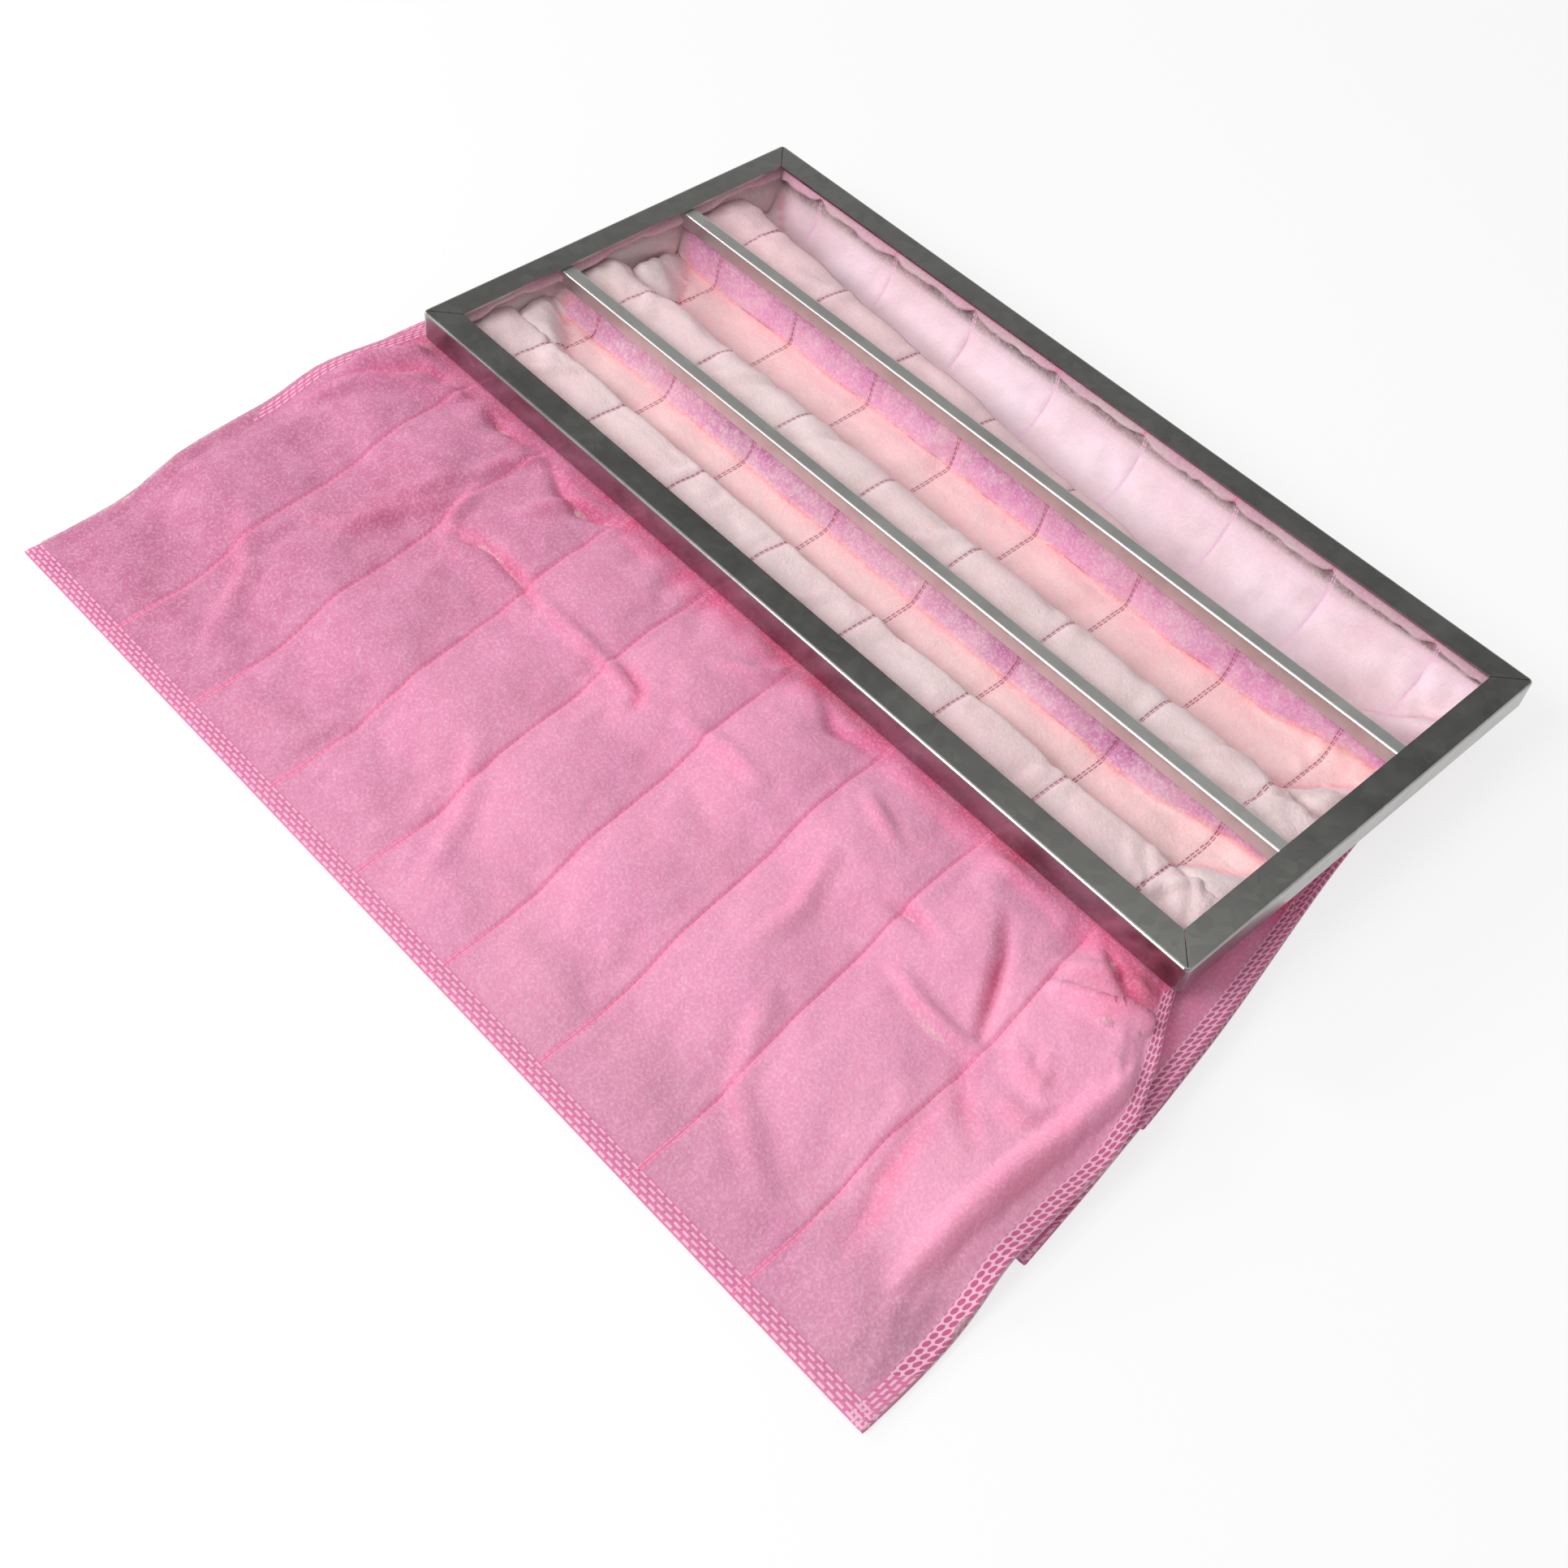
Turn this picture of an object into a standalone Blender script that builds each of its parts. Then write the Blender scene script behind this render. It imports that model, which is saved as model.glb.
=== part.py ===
# Bag air filter: a folded steel header, two divider bars and three stitched non-woven pockets,
# lying face up with the pockets folded over to one long side. Metres, +Z up.
# Everything is laid out from the middle of the header (+Y away from the folded pockets), and the
# whole is then shifted so that the origin is the middle of its footprint, on the floor.
import math
import bpy
import bmesh
from mathutils import Vector

# Header: one roll-formed strip, notched and folded at the corners
HEADER_LENGTH = 0.592
HEADER_WIDTH = 0.287
HEADER_DEPTH = 0.020
FLANGE_WIDTH = 0.017
HEM_DROP = 0.0016
RETURN_WIDTH = 0.0095
HEADER_SHEET = 0.0008
BEND_RADIUS = 0.0016
CORNER_RADIUS = 0.0030
MITRE_GAP = 0.0004
MITRE_LAND = 0.0022

# Divider bars: U channels that cap the edges of neighbouring pockets
BAR_OFFSET = 0.0488
BAR_WIDTH = 0.0090
BAR_DEPTH = 0.0100
BAR_SHEET = 0.0007
BAR_BEND = 0.0012
BAR_END_GAP = 0.0003

# Mouth wires and the media edge folded round them
WIRE_DIAMETER = 0.0016
WIRE_INSET = 0.0120
WIRE_CORNER = 0.0010
WRAP_RADIUS = 0.0014
WRAP_CROWN = 0.0012
WRAP_FLAT = 0.0008
FLAP_LENGTH = 0.0075
PINCHED_MEDIA = 0.0005

# Pockets: media, the air left between their walls, and how they lie
MEDIA = 0.0020
AIR = 0.0050
LAYER_GAP = 0.0008
POCKET_LENGTH = 0.354
POCKET_OVERHANG = 0.0285
SEAM_BAND = 0.010
CLOSING_RUN = 0.110
COLUMNS = 9
PUFF = 0.0030
PLEAT_PUFF = 0.6
PUFF_RUN = 0.030
DROOP_RUN = 0.050
DRIFT = 0.018
DRIFT_RUN = 0.250
SKEW = 0.007
LOWER_SPREAD_LEFT = 0.160
LOWER_SPREAD_RIGHT = 0.085
TOP_SPREAD_LEFT = 0.040
TOP_SPREAD_RIGHT = -0.055
SPREAD_RUN = 0.300
PLEAT_LIFT = 0.006
STATION_SPACING = 0.060
THICKENING_STATIONS = 3

# Where the far wall drops from its wire: shares of its run and of its depth
FAR_WALL_RUN = 0.017
FAR_WALL_FALL = {
    "far": [(0.03, 0.26), (0.22, 0.50), (0.50, 0.70), (0.90, 0.88), (1.60, 0.97)],
    "middle": [(0.03, 0.26), (0.10, 0.52), (0.19, 0.76), (0.30, 0.92), (1.10, 0.98)],
    "near": [(0.03, 0.26), (0.16, 0.52), (0.34, 0.76), (0.55, 0.92), (1.30, 0.98)],
}
FAR_WALL_REST = [0.25, 0.50, 0.75, 1.00]
FAR_WALL_SETTLES = 0.5

# The near wall's slack: a ridge out into the mouth, a crest, and back underneath
CREST_REACH = 0.042
FAR_CREST_LEFT = 0.045
FAR_CREST_RIGHT = 0.016
FAR_CREST_RUN = 0.420
RIDGE_DROP = 0.0034
RIDGE_START = 0.0060
RIDGE_SAG = 0.0010
RIDGE_WAVE = 0.0004
CREST_SHOULDER = 0.0065
CREST_TUCK = 0.0010
CREST_UNDER = 0.0085
CREST_LIFT = 0.0022
CREST_ROUNDING = 0.36
CREST_TURN = 0.80
UNDERSIDE_TURN = 0.33
JOIN_SETBACK = 0.0050
FOLD_STATIONS = 9
SEAM_DROP_STATIONS = 5
FLARE_FROM = 5
FLARE_STATIONS = 3
WELD_FROM = 6
BEND_STEPS = 3
WIRE_ARC_STEPS = 2
MERGE = 0.000001

CONTACT_GAP = 0.0003

# Worked out from the sizes above
POCKET_PITCH = 2 * MEDIA + AIR + LAYER_GAP
BACK_Z = 3 * POCKET_PITCH
FRONT_Z = BACK_Z + HEADER_DEPTH
BAR_TOP_Z = FRONT_Z - HEM_DROP - CONTACT_GAP
EXIT_Z = BAR_TOP_Z - BAR_DEPTH
WIRE_Z = BAR_TOP_Z - BAR_SHEET - CONTACT_GAP - WRAP_CROWN - PINCHED_MEDIA / 2
WIRE_X = HEADER_LENGTH / 2 - WIRE_INSET
POCKET_WIDTH = HEADER_LENGTH + 2 * POCKET_OVERHANG
WIRE_Y = HEADER_WIDTH / 2 - WIRE_INSET
PAIR_OFFSET = BAR_WIDTH / 2 - BAR_SHEET - CONTACT_GAP - WRAP_RADIUS - PINCHED_MEDIA / 2

# Where each pocket's gathered sides start to spread, as Y on its left and on its right
SPREAD_FROM = {
    "far": (LOWER_SPREAD_LEFT, LOWER_SPREAD_RIGHT),
    "middle": (LOWER_SPREAD_LEFT, LOWER_SPREAD_RIGHT),
    "near": (TOP_SPREAD_LEFT, TOP_SPREAD_RIGHT),
}

# Each pocket: its name, and the Y of the near and far wires of its mouth
POCKETS = [
    ("far", BAR_OFFSET + PAIR_OFFSET, WIRE_Y),
    ("middle", -BAR_OFFSET + PAIR_OFFSET, BAR_OFFSET - PAIR_OFFSET),
    ("near", -WIRE_Y, -BAR_OFFSET - PAIR_OFFSET),
]


def clear_scene():
    for old in list(bpy.data.objects):
        bpy.data.objects.remove(old, do_unlink=True)


def collection(name):
    group = bpy.data.collections.new(name)
    bpy.context.scene.collection.children.link(group)
    return group


def material(name, colour, roughness, metallic):
    made = bpy.data.materials.new(name)
    made.use_nodes = True
    shader = made.node_tree.nodes["Principled BSDF"]
    shader.inputs["Base Color"].default_value = (*colour, 1.0)
    shader.inputs["Roughness"].default_value = roughness
    shader.inputs["Metallic"].default_value = metallic
    return made


def add_object(name, mesh, group, finish, parent):
    made = bpy.data.objects.new(name, mesh)
    mesh.materials.append(finish)
    group.objects.link(made)
    made.parent = parent
    return made


def mesh_from(bm, name):
    mesh = bpy.data.meshes.new(name)
    bm.normal_update()
    bm.to_mesh(mesh)
    bm.free()
    return mesh


def solidify(made, thickness):
    shell = made.modifiers.new("sheet", "SOLIDIFY")
    shell.thickness = thickness
    shell.offset = -1
    shell.use_even_offset = True
    return shell


def smoothstep(value):
    value = min(max(value, 0.0), 1.0)
    return value * value * (3 - 2 * value)


def mix(a, b, share):
    return a + (b - a) * share


def arc(centre, radius, start, end, steps):
    """Points of an arc in a section plane, angles in degrees."""
    points = []
    for i in range(steps + 1):
        angle = math.radians(mix(start, end, i / steps))
        points.append((centre[0] + radius * math.cos(angle), centre[1] + radius * math.sin(angle)))
    return points


# Header

def header_section():
    """The strip's outer face as (inset from the outer rectangle, z), hem to back return."""
    r = BEND_RADIUS
    front = [(FLANGE_WIDTH, FRONT_Z - HEM_DROP), (FLANGE_WIDTH, FRONT_Z)]
    front += [(r - x, z) for x, z in arc((0, FRONT_Z - r), r, 90, 0, BEND_STEPS)]
    back = [(r - x, z) for x, z in arc((0, BACK_Z + r), r, 0, -90, BEND_STEPS)]
    return front + back + [(RETURN_WIDTH, BACK_Z)]


def rectangle_ring(inset, corner_steps):
    """A rectangle with rounded corners, counter-clockwise; inner rings turn nearly sharp."""
    half_x = HEADER_LENGTH / 2 - inset
    half_y = HEADER_WIDTH / 2 - inset
    radius = max(CORNER_RADIUS - inset, MITRE_GAP)
    ring = []
    for turn, (sx, sy) in enumerate([(1, 1), (-1, 1), (-1, -1), (1, -1)]):
        centre = (sx * (half_x - radius), sy * (half_y - radius))
        ring += arc(centre, radius, 90 * turn, 90 * turn + 90, corner_steps)
    return ring


def build_header(group, cutters, finish, parent):
    bm = bmesh.new()
    rings = []
    for inset, z in header_section():
        rings.append([bm.verts.new((x, y, z)) for x, y in rectangle_ring(inset, 3)])
    for upper, lower in zip(rings, rings[1:]):
        for i in range(len(upper)):
            k = (i + 1) % len(upper)
            bm.faces.new((upper[i], lower[i], lower[k], upper[k]))
    header = add_object("header_frame", mesh_from(bm, "header_frame"), group, finish, parent)
    solidify(header, HEADER_SHEET)
    for sx in (1, -1):
        for sy in (1, -1):
            cut_mitre(header, cutters, sx, sy)
    return header


def cut_mitre(header, cutters, sx, sy):
    """The notch between two flanges, from the inner corner almost to the outer bend."""
    length = (FLANGE_WIDTH + HEADER_SHEET - MITRE_LAND) * math.sqrt(2)
    middle = (FLANGE_WIDTH + HEADER_SHEET + MITRE_LAND) / 2
    bpy.ops.mesh.primitive_cube_add(size=1)
    cutter = bpy.context.object
    cutter.name = "mitre_cutter"
    for vertex in cutter.data.vertices:
        vertex.co = Vector((vertex.co.x * length, vertex.co.y * MITRE_GAP, vertex.co.z * 3 * HEM_DROP))
    cutter.location = (sx * (HEADER_LENGTH / 2 - middle), sy * (HEADER_WIDTH / 2 - middle), FRONT_Z)
    cutter.rotation_euler.z = math.radians(45 * sx * sy)
    cutter.parent = header.parent
    cutter.hide_render = True
    cutter.display_type = "WIRE"
    for owner in list(cutter.users_collection):
        owner.objects.unlink(cutter)
    cutters.objects.link(cutter)
    notch = header.modifiers.new("mitre", "BOOLEAN")
    notch.operation = "DIFFERENCE"
    notch.solver = "EXACT"
    notch.object = cutter


# Divider bars

def build_bar(name, middle_y, group, finish, parent):
    """A U channel, legs down, open at its ends, which tuck under the header's flange."""
    r = BAR_BEND
    half = BAR_WIDTH / 2
    section = [(half, EXIT_Z)] + arc((half - r, BAR_TOP_Z - r), r, 0, 90, BEND_STEPS)
    section += arc((-half + r, BAR_TOP_Z - r), r, 90, 180, BEND_STEPS) + [(-half, EXIT_Z)]
    reach = WIRE_X - WRAP_RADIUS - PINCHED_MEDIA / 2 - BAR_END_GAP
    bm = bmesh.new()
    right = [bm.verts.new((reach, middle_y + y, z)) for y, z in section]
    left = [bm.verts.new((-reach, middle_y + y, z)) for y, z in section]
    for i in range(len(section) - 1):
        bm.faces.new((right[i], left[i], left[i + 1], right[i + 1]))
    bar = add_object(name, mesh_from(bm, name), group, finish, parent)
    solidify(bar, BAR_SHEET)
    return bar


# Mouth wires

def build_wire(name, near_y, far_y, group, finish, parent):
    curve = bpy.data.curves.new(name, "CURVE")
    curve.dimensions = "3D"
    curve.bevel_depth = WIRE_DIAMETER / 2
    curve.bevel_resolution = 1
    r = WIRE_CORNER
    points = []
    corners = [(WIRE_X, far_y, 0), (-WIRE_X, far_y, 90), (-WIRE_X, near_y, 180), (WIRE_X, near_y, 270)]
    for x, y, start in corners:
        centre = (x - math.copysign(r, x), y - r if y == far_y else y + r)
        points += arc(centre, r, start, start + 90, WIRE_ARC_STEPS)
    spline = curve.splines.new("POLY")
    spline.points.add(len(points) - 1)
    for point, (x, y) in zip(spline.points, points):
        point.co = (x, y, WIRE_Z, 1)
    spline.use_cyclic_u = True
    return add_object(name, curve, group, finish, parent)


# Pockets

def end_y(index):
    """Where a pocket's end seam lies, from its length along the far wall."""
    level = MEDIA / 2 + index * POCKET_PITCH
    return POCKETS[index][2] - (POCKET_LENGTH - (EXIT_Z - level) + FAR_WALL_RUN / 2)


def far_level(index, y):
    """Middle of the far wall's thickness where it lies flat, higher over each pocket below."""
    height = MEDIA / 2
    for lower in range(index):
        height += POCKET_PITCH * smoothstep((y - end_y(lower)) / DROOP_RUN + 1)
    return height


def lean(y):
    """How far the lying pockets have slid aside, 0 under the header to 1 far from it."""
    return smoothstep((-HEADER_WIDTH / 2 - y) / DRIFT_RUN)


def around_samples(half_width):
    """Places across a wall, seam to seam, with how far each stands puffed out between stitches."""
    edge = half_width - SEAM_BAND
    column = 2 * edge / COLUMNS
    samples = [(-half_width, 0), (-edge, 0), (-WIRE_X, PLEAT_PUFF)]
    for line in range(1, COLUMNS):
        samples.append((-edge + line * column, 0))
        if line < COLUMNS - 1:
            samples.append((-edge + line * column + column / 2, 1))
    return samples + [(WIRE_X, PLEAT_PUFF), (edge, 0), (half_width, 0)]


def mouth_profile():
    """The media edge over its wire, as (distance outward of the wire, z), frayed edge first."""
    return [
        (-WRAP_RADIUS, WIRE_Z - FLAP_LENGTH),
        (-WRAP_RADIUS, WIRE_Z),
        (-WRAP_FLAT, WIRE_Z + WRAP_CROWN),
        (WRAP_FLAT, WIRE_Z + WRAP_CROWN),
        (WRAP_RADIUS, WIRE_Z),
        (WRAP_RADIUS, EXIT_Z),
    ]


def far_path(index, far_y, join_y):
    """The far wall drops from its wire and then lies down, as (y, z) stations."""
    start = far_y + WRAP_RADIUS
    low = far_level(index, join_y)
    fall = FAR_WALL_FALL[POCKETS[index][0]]
    stations = [(start - run * FAR_WALL_RUN, mix(EXIT_Z, low, depth)) for run, depth in fall]
    last_y, last_z = stations[-1]
    for share in FAR_WALL_REST:
        stations.append((mix(last_y, join_y, share), mix(last_z, low, smoothstep(share / FAR_WALL_SETTLES))))
    return stations


def crest_reach(index, along):
    """How far the ridge stands out into the mouth; the far pocket's tapers from left to right."""
    if index > 0:
        return CREST_REACH
    return mix(FAR_CREST_LEFT, FAR_CREST_RIGHT, min(max((along + WIRE_X) / FAR_CREST_RUN, 0), 1))


def near_path(index, near_y, join_y, reach):
    """The near wall's slack: out into the mouth as a ridge, over its crest and back underneath."""
    top = EXIT_Z - RIDGE_DROP
    join_z = far_level(index, join_y) + MEDIA + AIR
    low = join_z + CREST_LIFT * (len(POCKETS) - 1 - index)
    crest = near_y + reach
    return [
        (near_y + CREST_TUCK, mix(EXIT_Z, top, CREST_TURN)),
        (near_y + RIDGE_START, top - RIDGE_WAVE),
        (near_y + reach / 2, top + RIDGE_WAVE),
        (crest - CREST_SHOULDER, top - RIDGE_SAG),
        (crest, mix(top - RIDGE_SAG, low, CREST_ROUNDING)),
        (crest - CREST_TUCK, mix(top - RIDGE_SAG, low, CREST_TURN)),
        (crest - CREST_UNDER, low),
        (near_y + reach * UNDERSIDE_TURN, (low + join_z) / 2),
        (join_y, join_z),
    ]


def seam_path(index, near_y, far_y, join_y):
    """The side seam from the middle of the mouth's short side to where the walls lie together."""
    middle = (near_y + far_y) / 2
    join_z = far_level(index, join_y) + (MEDIA + AIR) / 2
    stations = []
    for step in range(1, FOLD_STATIONS + 1):
        y = mix(middle, join_y, smoothstep(step / FOLD_STATIONS))
        z = mix(EXIT_Z, join_z, smoothstep(step / SEAM_DROP_STATIONS))
        stations.append((y, z))
    return stations


def flat_ys(index, join_y, weld_y):
    """Where the lying part has stations: at each step down over a pocket below, and between."""
    knots = [join_y, weld_y]
    if index == len(POCKETS) - 1:
        knots += [-HEADER_WIDTH / 2, -HEADER_WIDTH / 2 - PUFF_RUN]
    for lower in range(index):
        knots += [end_y(lower), end_y(lower) - DROOP_RUN / 2, end_y(lower) - DROOP_RUN]
    knots.sort(reverse=True)
    ys = []
    for start, stop in zip(knots, knots[1:]):
        steps = math.ceil((start - stop) / STATION_SPACING)
        ys += [mix(start, stop, step / steps) for step in range(1, steps + 1)]
    return ys


def flat_stations(index, join_y, last_y):
    """Stations of the lying part: (y, far z, near z)."""
    stations = []
    for y in flat_ys(index, join_y, last_y + SEAM_BAND):
        fill = smoothstep((y - last_y - SEAM_BAND) / CLOSING_RUN)
        far_z = far_level(index, y)
        stations.append((y, far_z, far_z + MEDIA + AIR * fill))
    return stations


class Pocket:
    """A bag lofted through rings: round its mouth, down, and along as two walls welded at the edge."""

    def __init__(self, index, near_y, far_y):
        self.index = index
        self.topmost = index == len(POCKETS) - 1
        self.near_y = near_y
        self.far_y = far_y
        self.half_width = POCKET_WIDTH / 2
        self.join_y = near_y - JOIN_SETBACK
        self.last_y = end_y(index)
        self.samples = around_samples(self.half_width)
        self.last_line = max(along for along, puffed in self.samples if along < WIRE_X and puffed == 0)
        self.mouth = mouth_profile()
        self.far = far_path(index, far_y, self.join_y)
        self.seam = seam_path(index, near_y, far_y, self.join_y)
        self.flat = flat_stations(index, self.join_y, self.last_y)

    def ring_order(self):
        """Far wall left to right, then the near wall back, without repeating the two seams."""
        last = len(self.samples) - 1
        far = [("far", i) for i in range(last + 1)]
        near = [("near", i) for i in range(last - 1, 0, -1)]
        return far + near

    def corner_share(self, along):
        """0 on the long side of the mouth, 1 at the middle of its short side."""
        return max(abs(along) - WIRE_X, 0) / (self.half_width - WIRE_X)

    def mouth_point(self, wall, along, profile):
        out, z = profile
        wall_y = self.far_y + out if wall == "far" else self.near_y - out
        middle = (self.near_y + self.far_y) / 2
        y = mix(wall_y, middle, self.corner_share(along))
        x = max(min(along, WIRE_X), -WIRE_X)
        if abs(along) >= WIRE_X:
            x += out * math.copysign(1, along)
        return Vector((x, y, z))

    def near_station(self, along, step):
        reach = crest_reach(self.index, along)
        return near_path(self.index, self.near_y, self.join_y, reach)[step]

    def fold_point(self, wall, along, step):
        wall_y, wall_z = self.far[step] if wall == "far" else self.near_station(along, step)
        seam_y, seam_z = self.seam[step]
        share = self.corner_share(along)
        flare = smoothstep((step - FLARE_FROM) / FLARE_STATIONS)
        inside = max(min(along, WIRE_X), -WIRE_X)
        if abs(along) >= WIRE_X:
            inside += mix(WRAP_RADIUS, 0, step / FOLD_STATIONS) * math.copysign(1, along)
        x = mix(inside, self.spread(along, self.join_y), flare)
        return Vector((x, mix(wall_y, seam_y, share), mix(wall_z, seam_z, share)))

    def gathered(self, along, y):
        """How much the outer columns are drawn in: most at the mouth, none further out."""
        left, right = SPREAD_FROM[POCKETS[self.index][0]]
        return 1 - smoothstep(((left if along < 0 else right) - y) / SPREAD_RUN)

    def spread(self, along, y):
        """Only what lies past the last stitch line is drawn in."""
        past = max(abs(along) - self.last_line, 0)
        share = (self.half_width - WIRE_X) / (self.half_width - self.last_line)
        return along - past * share * self.gathered(along, y) * math.copysign(1, along)

    def flat_point(self, wall, along, station, puff):
        y, far_z, near_z = station
        middle_z = (far_z + near_z) / 2
        z = far_z if wall == "far" else near_z + puff
        at_edge = self.half_width - abs(along)
        if at_edge < SEAM_BAND + MERGE:
            weld = MEDIA / 2 * (at_edge / SEAM_BAND)
            z = middle_z - weld if wall == "far" else middle_z + weld
        x = self.spread(along, y) + DRIFT * lean(y)
        return Vector((x, y + SKEW * lean(y) * along / self.half_width, z))

    def puff_at(self, along, puffed, y):
        """Only the topmost pocket is free to puff up, once clear of the header."""
        if not self.topmost:
            return 0
        height = PUFF * puffed
        if abs(along) == WIRE_X:
            height += PLEAT_LIFT * self.gathered(along, y)
        return height * smoothstep((-HEADER_WIDTH / 2 - y) / PUFF_RUN)

    def rings(self):
        order = self.ring_order()
        rings = []
        for profile in self.mouth:
            rings.append([self.mouth_point(wall, self.samples[i][0], profile) for wall, i in order])
        for step in range(len(self.far)):
            rings.append([self.fold_point(wall, self.samples[i][0], step) for wall, i in order])
        for station in self.flat:
            ring = []
            for wall, i in order:
                along, puffed = self.samples[i]
                puff = self.puff_at(along, puffed, station[0])
                ring.append(self.flat_point(wall, along, station, puff))
            rings.append(ring)
        return rings

    def thickness_at(self, station):
        growth = (station - len(self.mouth) + 1) / THICKENING_STATIONS
        return mix(PINCHED_MEDIA, MEDIA, min(max(growth, 0), 1))


def ring_normals(rings):
    """Outward directions at each ring point, from its neighbours round and along the bag."""
    normals = []
    for j, ring in enumerate(rings):
        before = rings[max(j - 1, 0)]
        after = rings[min(j + 1, len(rings) - 1)]
        row = []
        for i in range(len(ring)):
            around = ring[(i + 1) % len(ring)] - ring[i - 1]
            down = after[i] - before[i]
            row.append(around.cross(down).normalized())
        normals.append(row)
    return normals


def build_pocket(name, pocket, group, finish, parent):
    rings = pocket.rings()
    normals = ring_normals(rings)
    order = pocket.ring_order()
    last = len(pocket.samples) - 1
    weld_from = len(pocket.mouth) + WELD_FROM
    outer = []
    inner = []
    for j, ring in enumerate(rings):
        half = pocket.thickness_at(j) / 2
        outer_row = [p + n * half for p, n in zip(ring, normals[j])]
        inner_row = [p - n * half for p, n in zip(ring, normals[j])]
        if j >= weld_from:
            close_welded_sides(ring, inner_row, order, last)
        outer.append(outer_row)
        inner.append(inner_row)
    close_welded_end(inner[-1], order)
    end_station = end_row(pocket, rings[-1], order)
    bm = bmesh.new()
    outer_verts = [[bm.verts.new(p) for p in row] for row in outer + [end_station]]
    inner_verts = [[bm.verts.new(p) for p in row] for row in inner]
    skin(bm, outer_verts)
    skin(bm, inner_verts, facing_in=True)
    skin(bm, [inner_verts[0], outer_verts[0]])
    bmesh.ops.remove_doubles(bm, verts=bm.verts, dist=MERGE)
    return add_object(name, mesh_from(bm, name), group, finish, parent)


def skin(bm, rows, facing_in=False):
    for upper, lower in zip(rows, rows[1:]):
        for i in range(len(upper)):
            k = (i + 1) % len(upper)
            quad = (upper[i], upper[k], lower[k], lower[i])
            bm.faces.new(reversed(quad) if facing_in else quad)


def close_welded_sides(ring, inner_row, order, last):
    """Inside, the hollow ends at the weld's inner edge on both sides."""
    places = {key: i for i, key in enumerate(order)}
    for seam, edge in ((0, 1), (last, last - 1)):
        far_edge = places[("far", edge)]
        near_edge = places[("near", edge)]
        middle = (ring[far_edge] + ring[near_edge]) / 2
        for i in (places[("far", seam)], far_edge, near_edge):
            inner_row[i] = middle.copy()


def close_welded_end(inner_row, order):
    """At the end weld's inner edge the two inner faces meet."""
    places = {key: i for i, key in enumerate(order)}
    for wall, i in order:
        if wall == "near":
            middle = (inner_row[places[("far", i)]] + inner_row[places[("near", i)]]) / 2
            inner_row[places[("far", i)]] = middle
            inner_row[places[("near", i)]] = middle.copy()


def end_row(pocket, ring, order):
    """The end seam's edge, where both walls meet."""
    places = {key: i for i, key in enumerate(order)}
    row = []
    for wall, i in order:
        pair = [places[(w, i)] for w in ("far", "near") if (w, i) in places]
        middle = sum((ring[k] for k in pair), Vector()) / len(pair)
        row.append(middle + Vector((0, -SEAM_BAND, 0)))
    return row


def footprint(objects):
    """Middle of the whole filter's footprint."""
    bpy.context.view_layer.update()
    corners = [made.matrix_world @ Vector(corner) for made in objects for corner in made.bound_box]
    xs = [corner.x for corner in corners]
    ys = [corner.y for corner in corners]
    return (min(xs) + max(xs)) / 2, (min(ys) + max(ys)) / 2


def main():
    clear_scene()
    group = collection("bag_air_filter")
    cutters = collection("cutters")
    stand = bpy.data.objects.new("filter_origin", None)
    group.objects.link(stand)
    galvanised = material("galvanised_steel", (0.36, 0.37, 0.36), 0.35, 1.0)
    wire = material("steel_wire", (0.45, 0.45, 0.45), 0.4, 1.0)
    media = material("pink_nonwoven", (0.62, 0.22, 0.37), 0.95, 0.0)

    pieces = [build_header(group, cutters, galvanised, stand)]
    pieces.append(build_bar("divider_far", BAR_OFFSET, group, galvanised, stand))
    pieces.append(build_bar("divider_near", -BAR_OFFSET, group, galvanised, stand))
    for index, (place, near_y, far_y) in enumerate(POCKETS):
        pieces.append(build_wire("mouth_wire_" + place, near_y, far_y, group, wire, stand))
        pocket = Pocket(index, near_y, far_y)
        pieces.append(build_pocket("pocket_" + place, pocket, group, media, stand))

    middle_x, middle_y = footprint(pieces)
    stand.location = (-middle_x, -middle_y, 0)


main()
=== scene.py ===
# Bag air filter, looks. The metal pieces come from the solids and only get their finish.
# Each pocket is made again as a fine cloth shell on the same lines, then creased and stitched.
import math
from types import SimpleNamespace
import bpy
import numpy as np
from mathutils import Matrix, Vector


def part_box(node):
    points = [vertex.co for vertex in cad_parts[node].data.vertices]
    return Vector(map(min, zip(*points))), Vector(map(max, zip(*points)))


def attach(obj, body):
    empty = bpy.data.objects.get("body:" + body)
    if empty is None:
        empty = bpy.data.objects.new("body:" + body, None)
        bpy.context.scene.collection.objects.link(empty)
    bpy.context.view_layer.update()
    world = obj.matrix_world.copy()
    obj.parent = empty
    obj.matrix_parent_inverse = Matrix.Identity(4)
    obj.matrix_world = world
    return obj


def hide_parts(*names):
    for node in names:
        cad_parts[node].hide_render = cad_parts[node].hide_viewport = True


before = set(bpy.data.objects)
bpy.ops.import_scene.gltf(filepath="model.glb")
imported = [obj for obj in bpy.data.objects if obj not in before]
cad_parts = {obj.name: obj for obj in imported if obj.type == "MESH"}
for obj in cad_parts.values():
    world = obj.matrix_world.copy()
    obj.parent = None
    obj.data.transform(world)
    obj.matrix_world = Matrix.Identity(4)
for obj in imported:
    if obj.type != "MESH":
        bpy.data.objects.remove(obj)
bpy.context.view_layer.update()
print("frame loaded")


# Colour, shader and number helpers

def hexToLinear(code):
    values = [int(code[i:i + 2], 16) / 255 for i in (1, 3, 5)]
    return np.array([v / 12.92 if v <= 0.04045 else ((v + 0.055) / 1.055) ** 2.4 for v in values])


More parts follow.
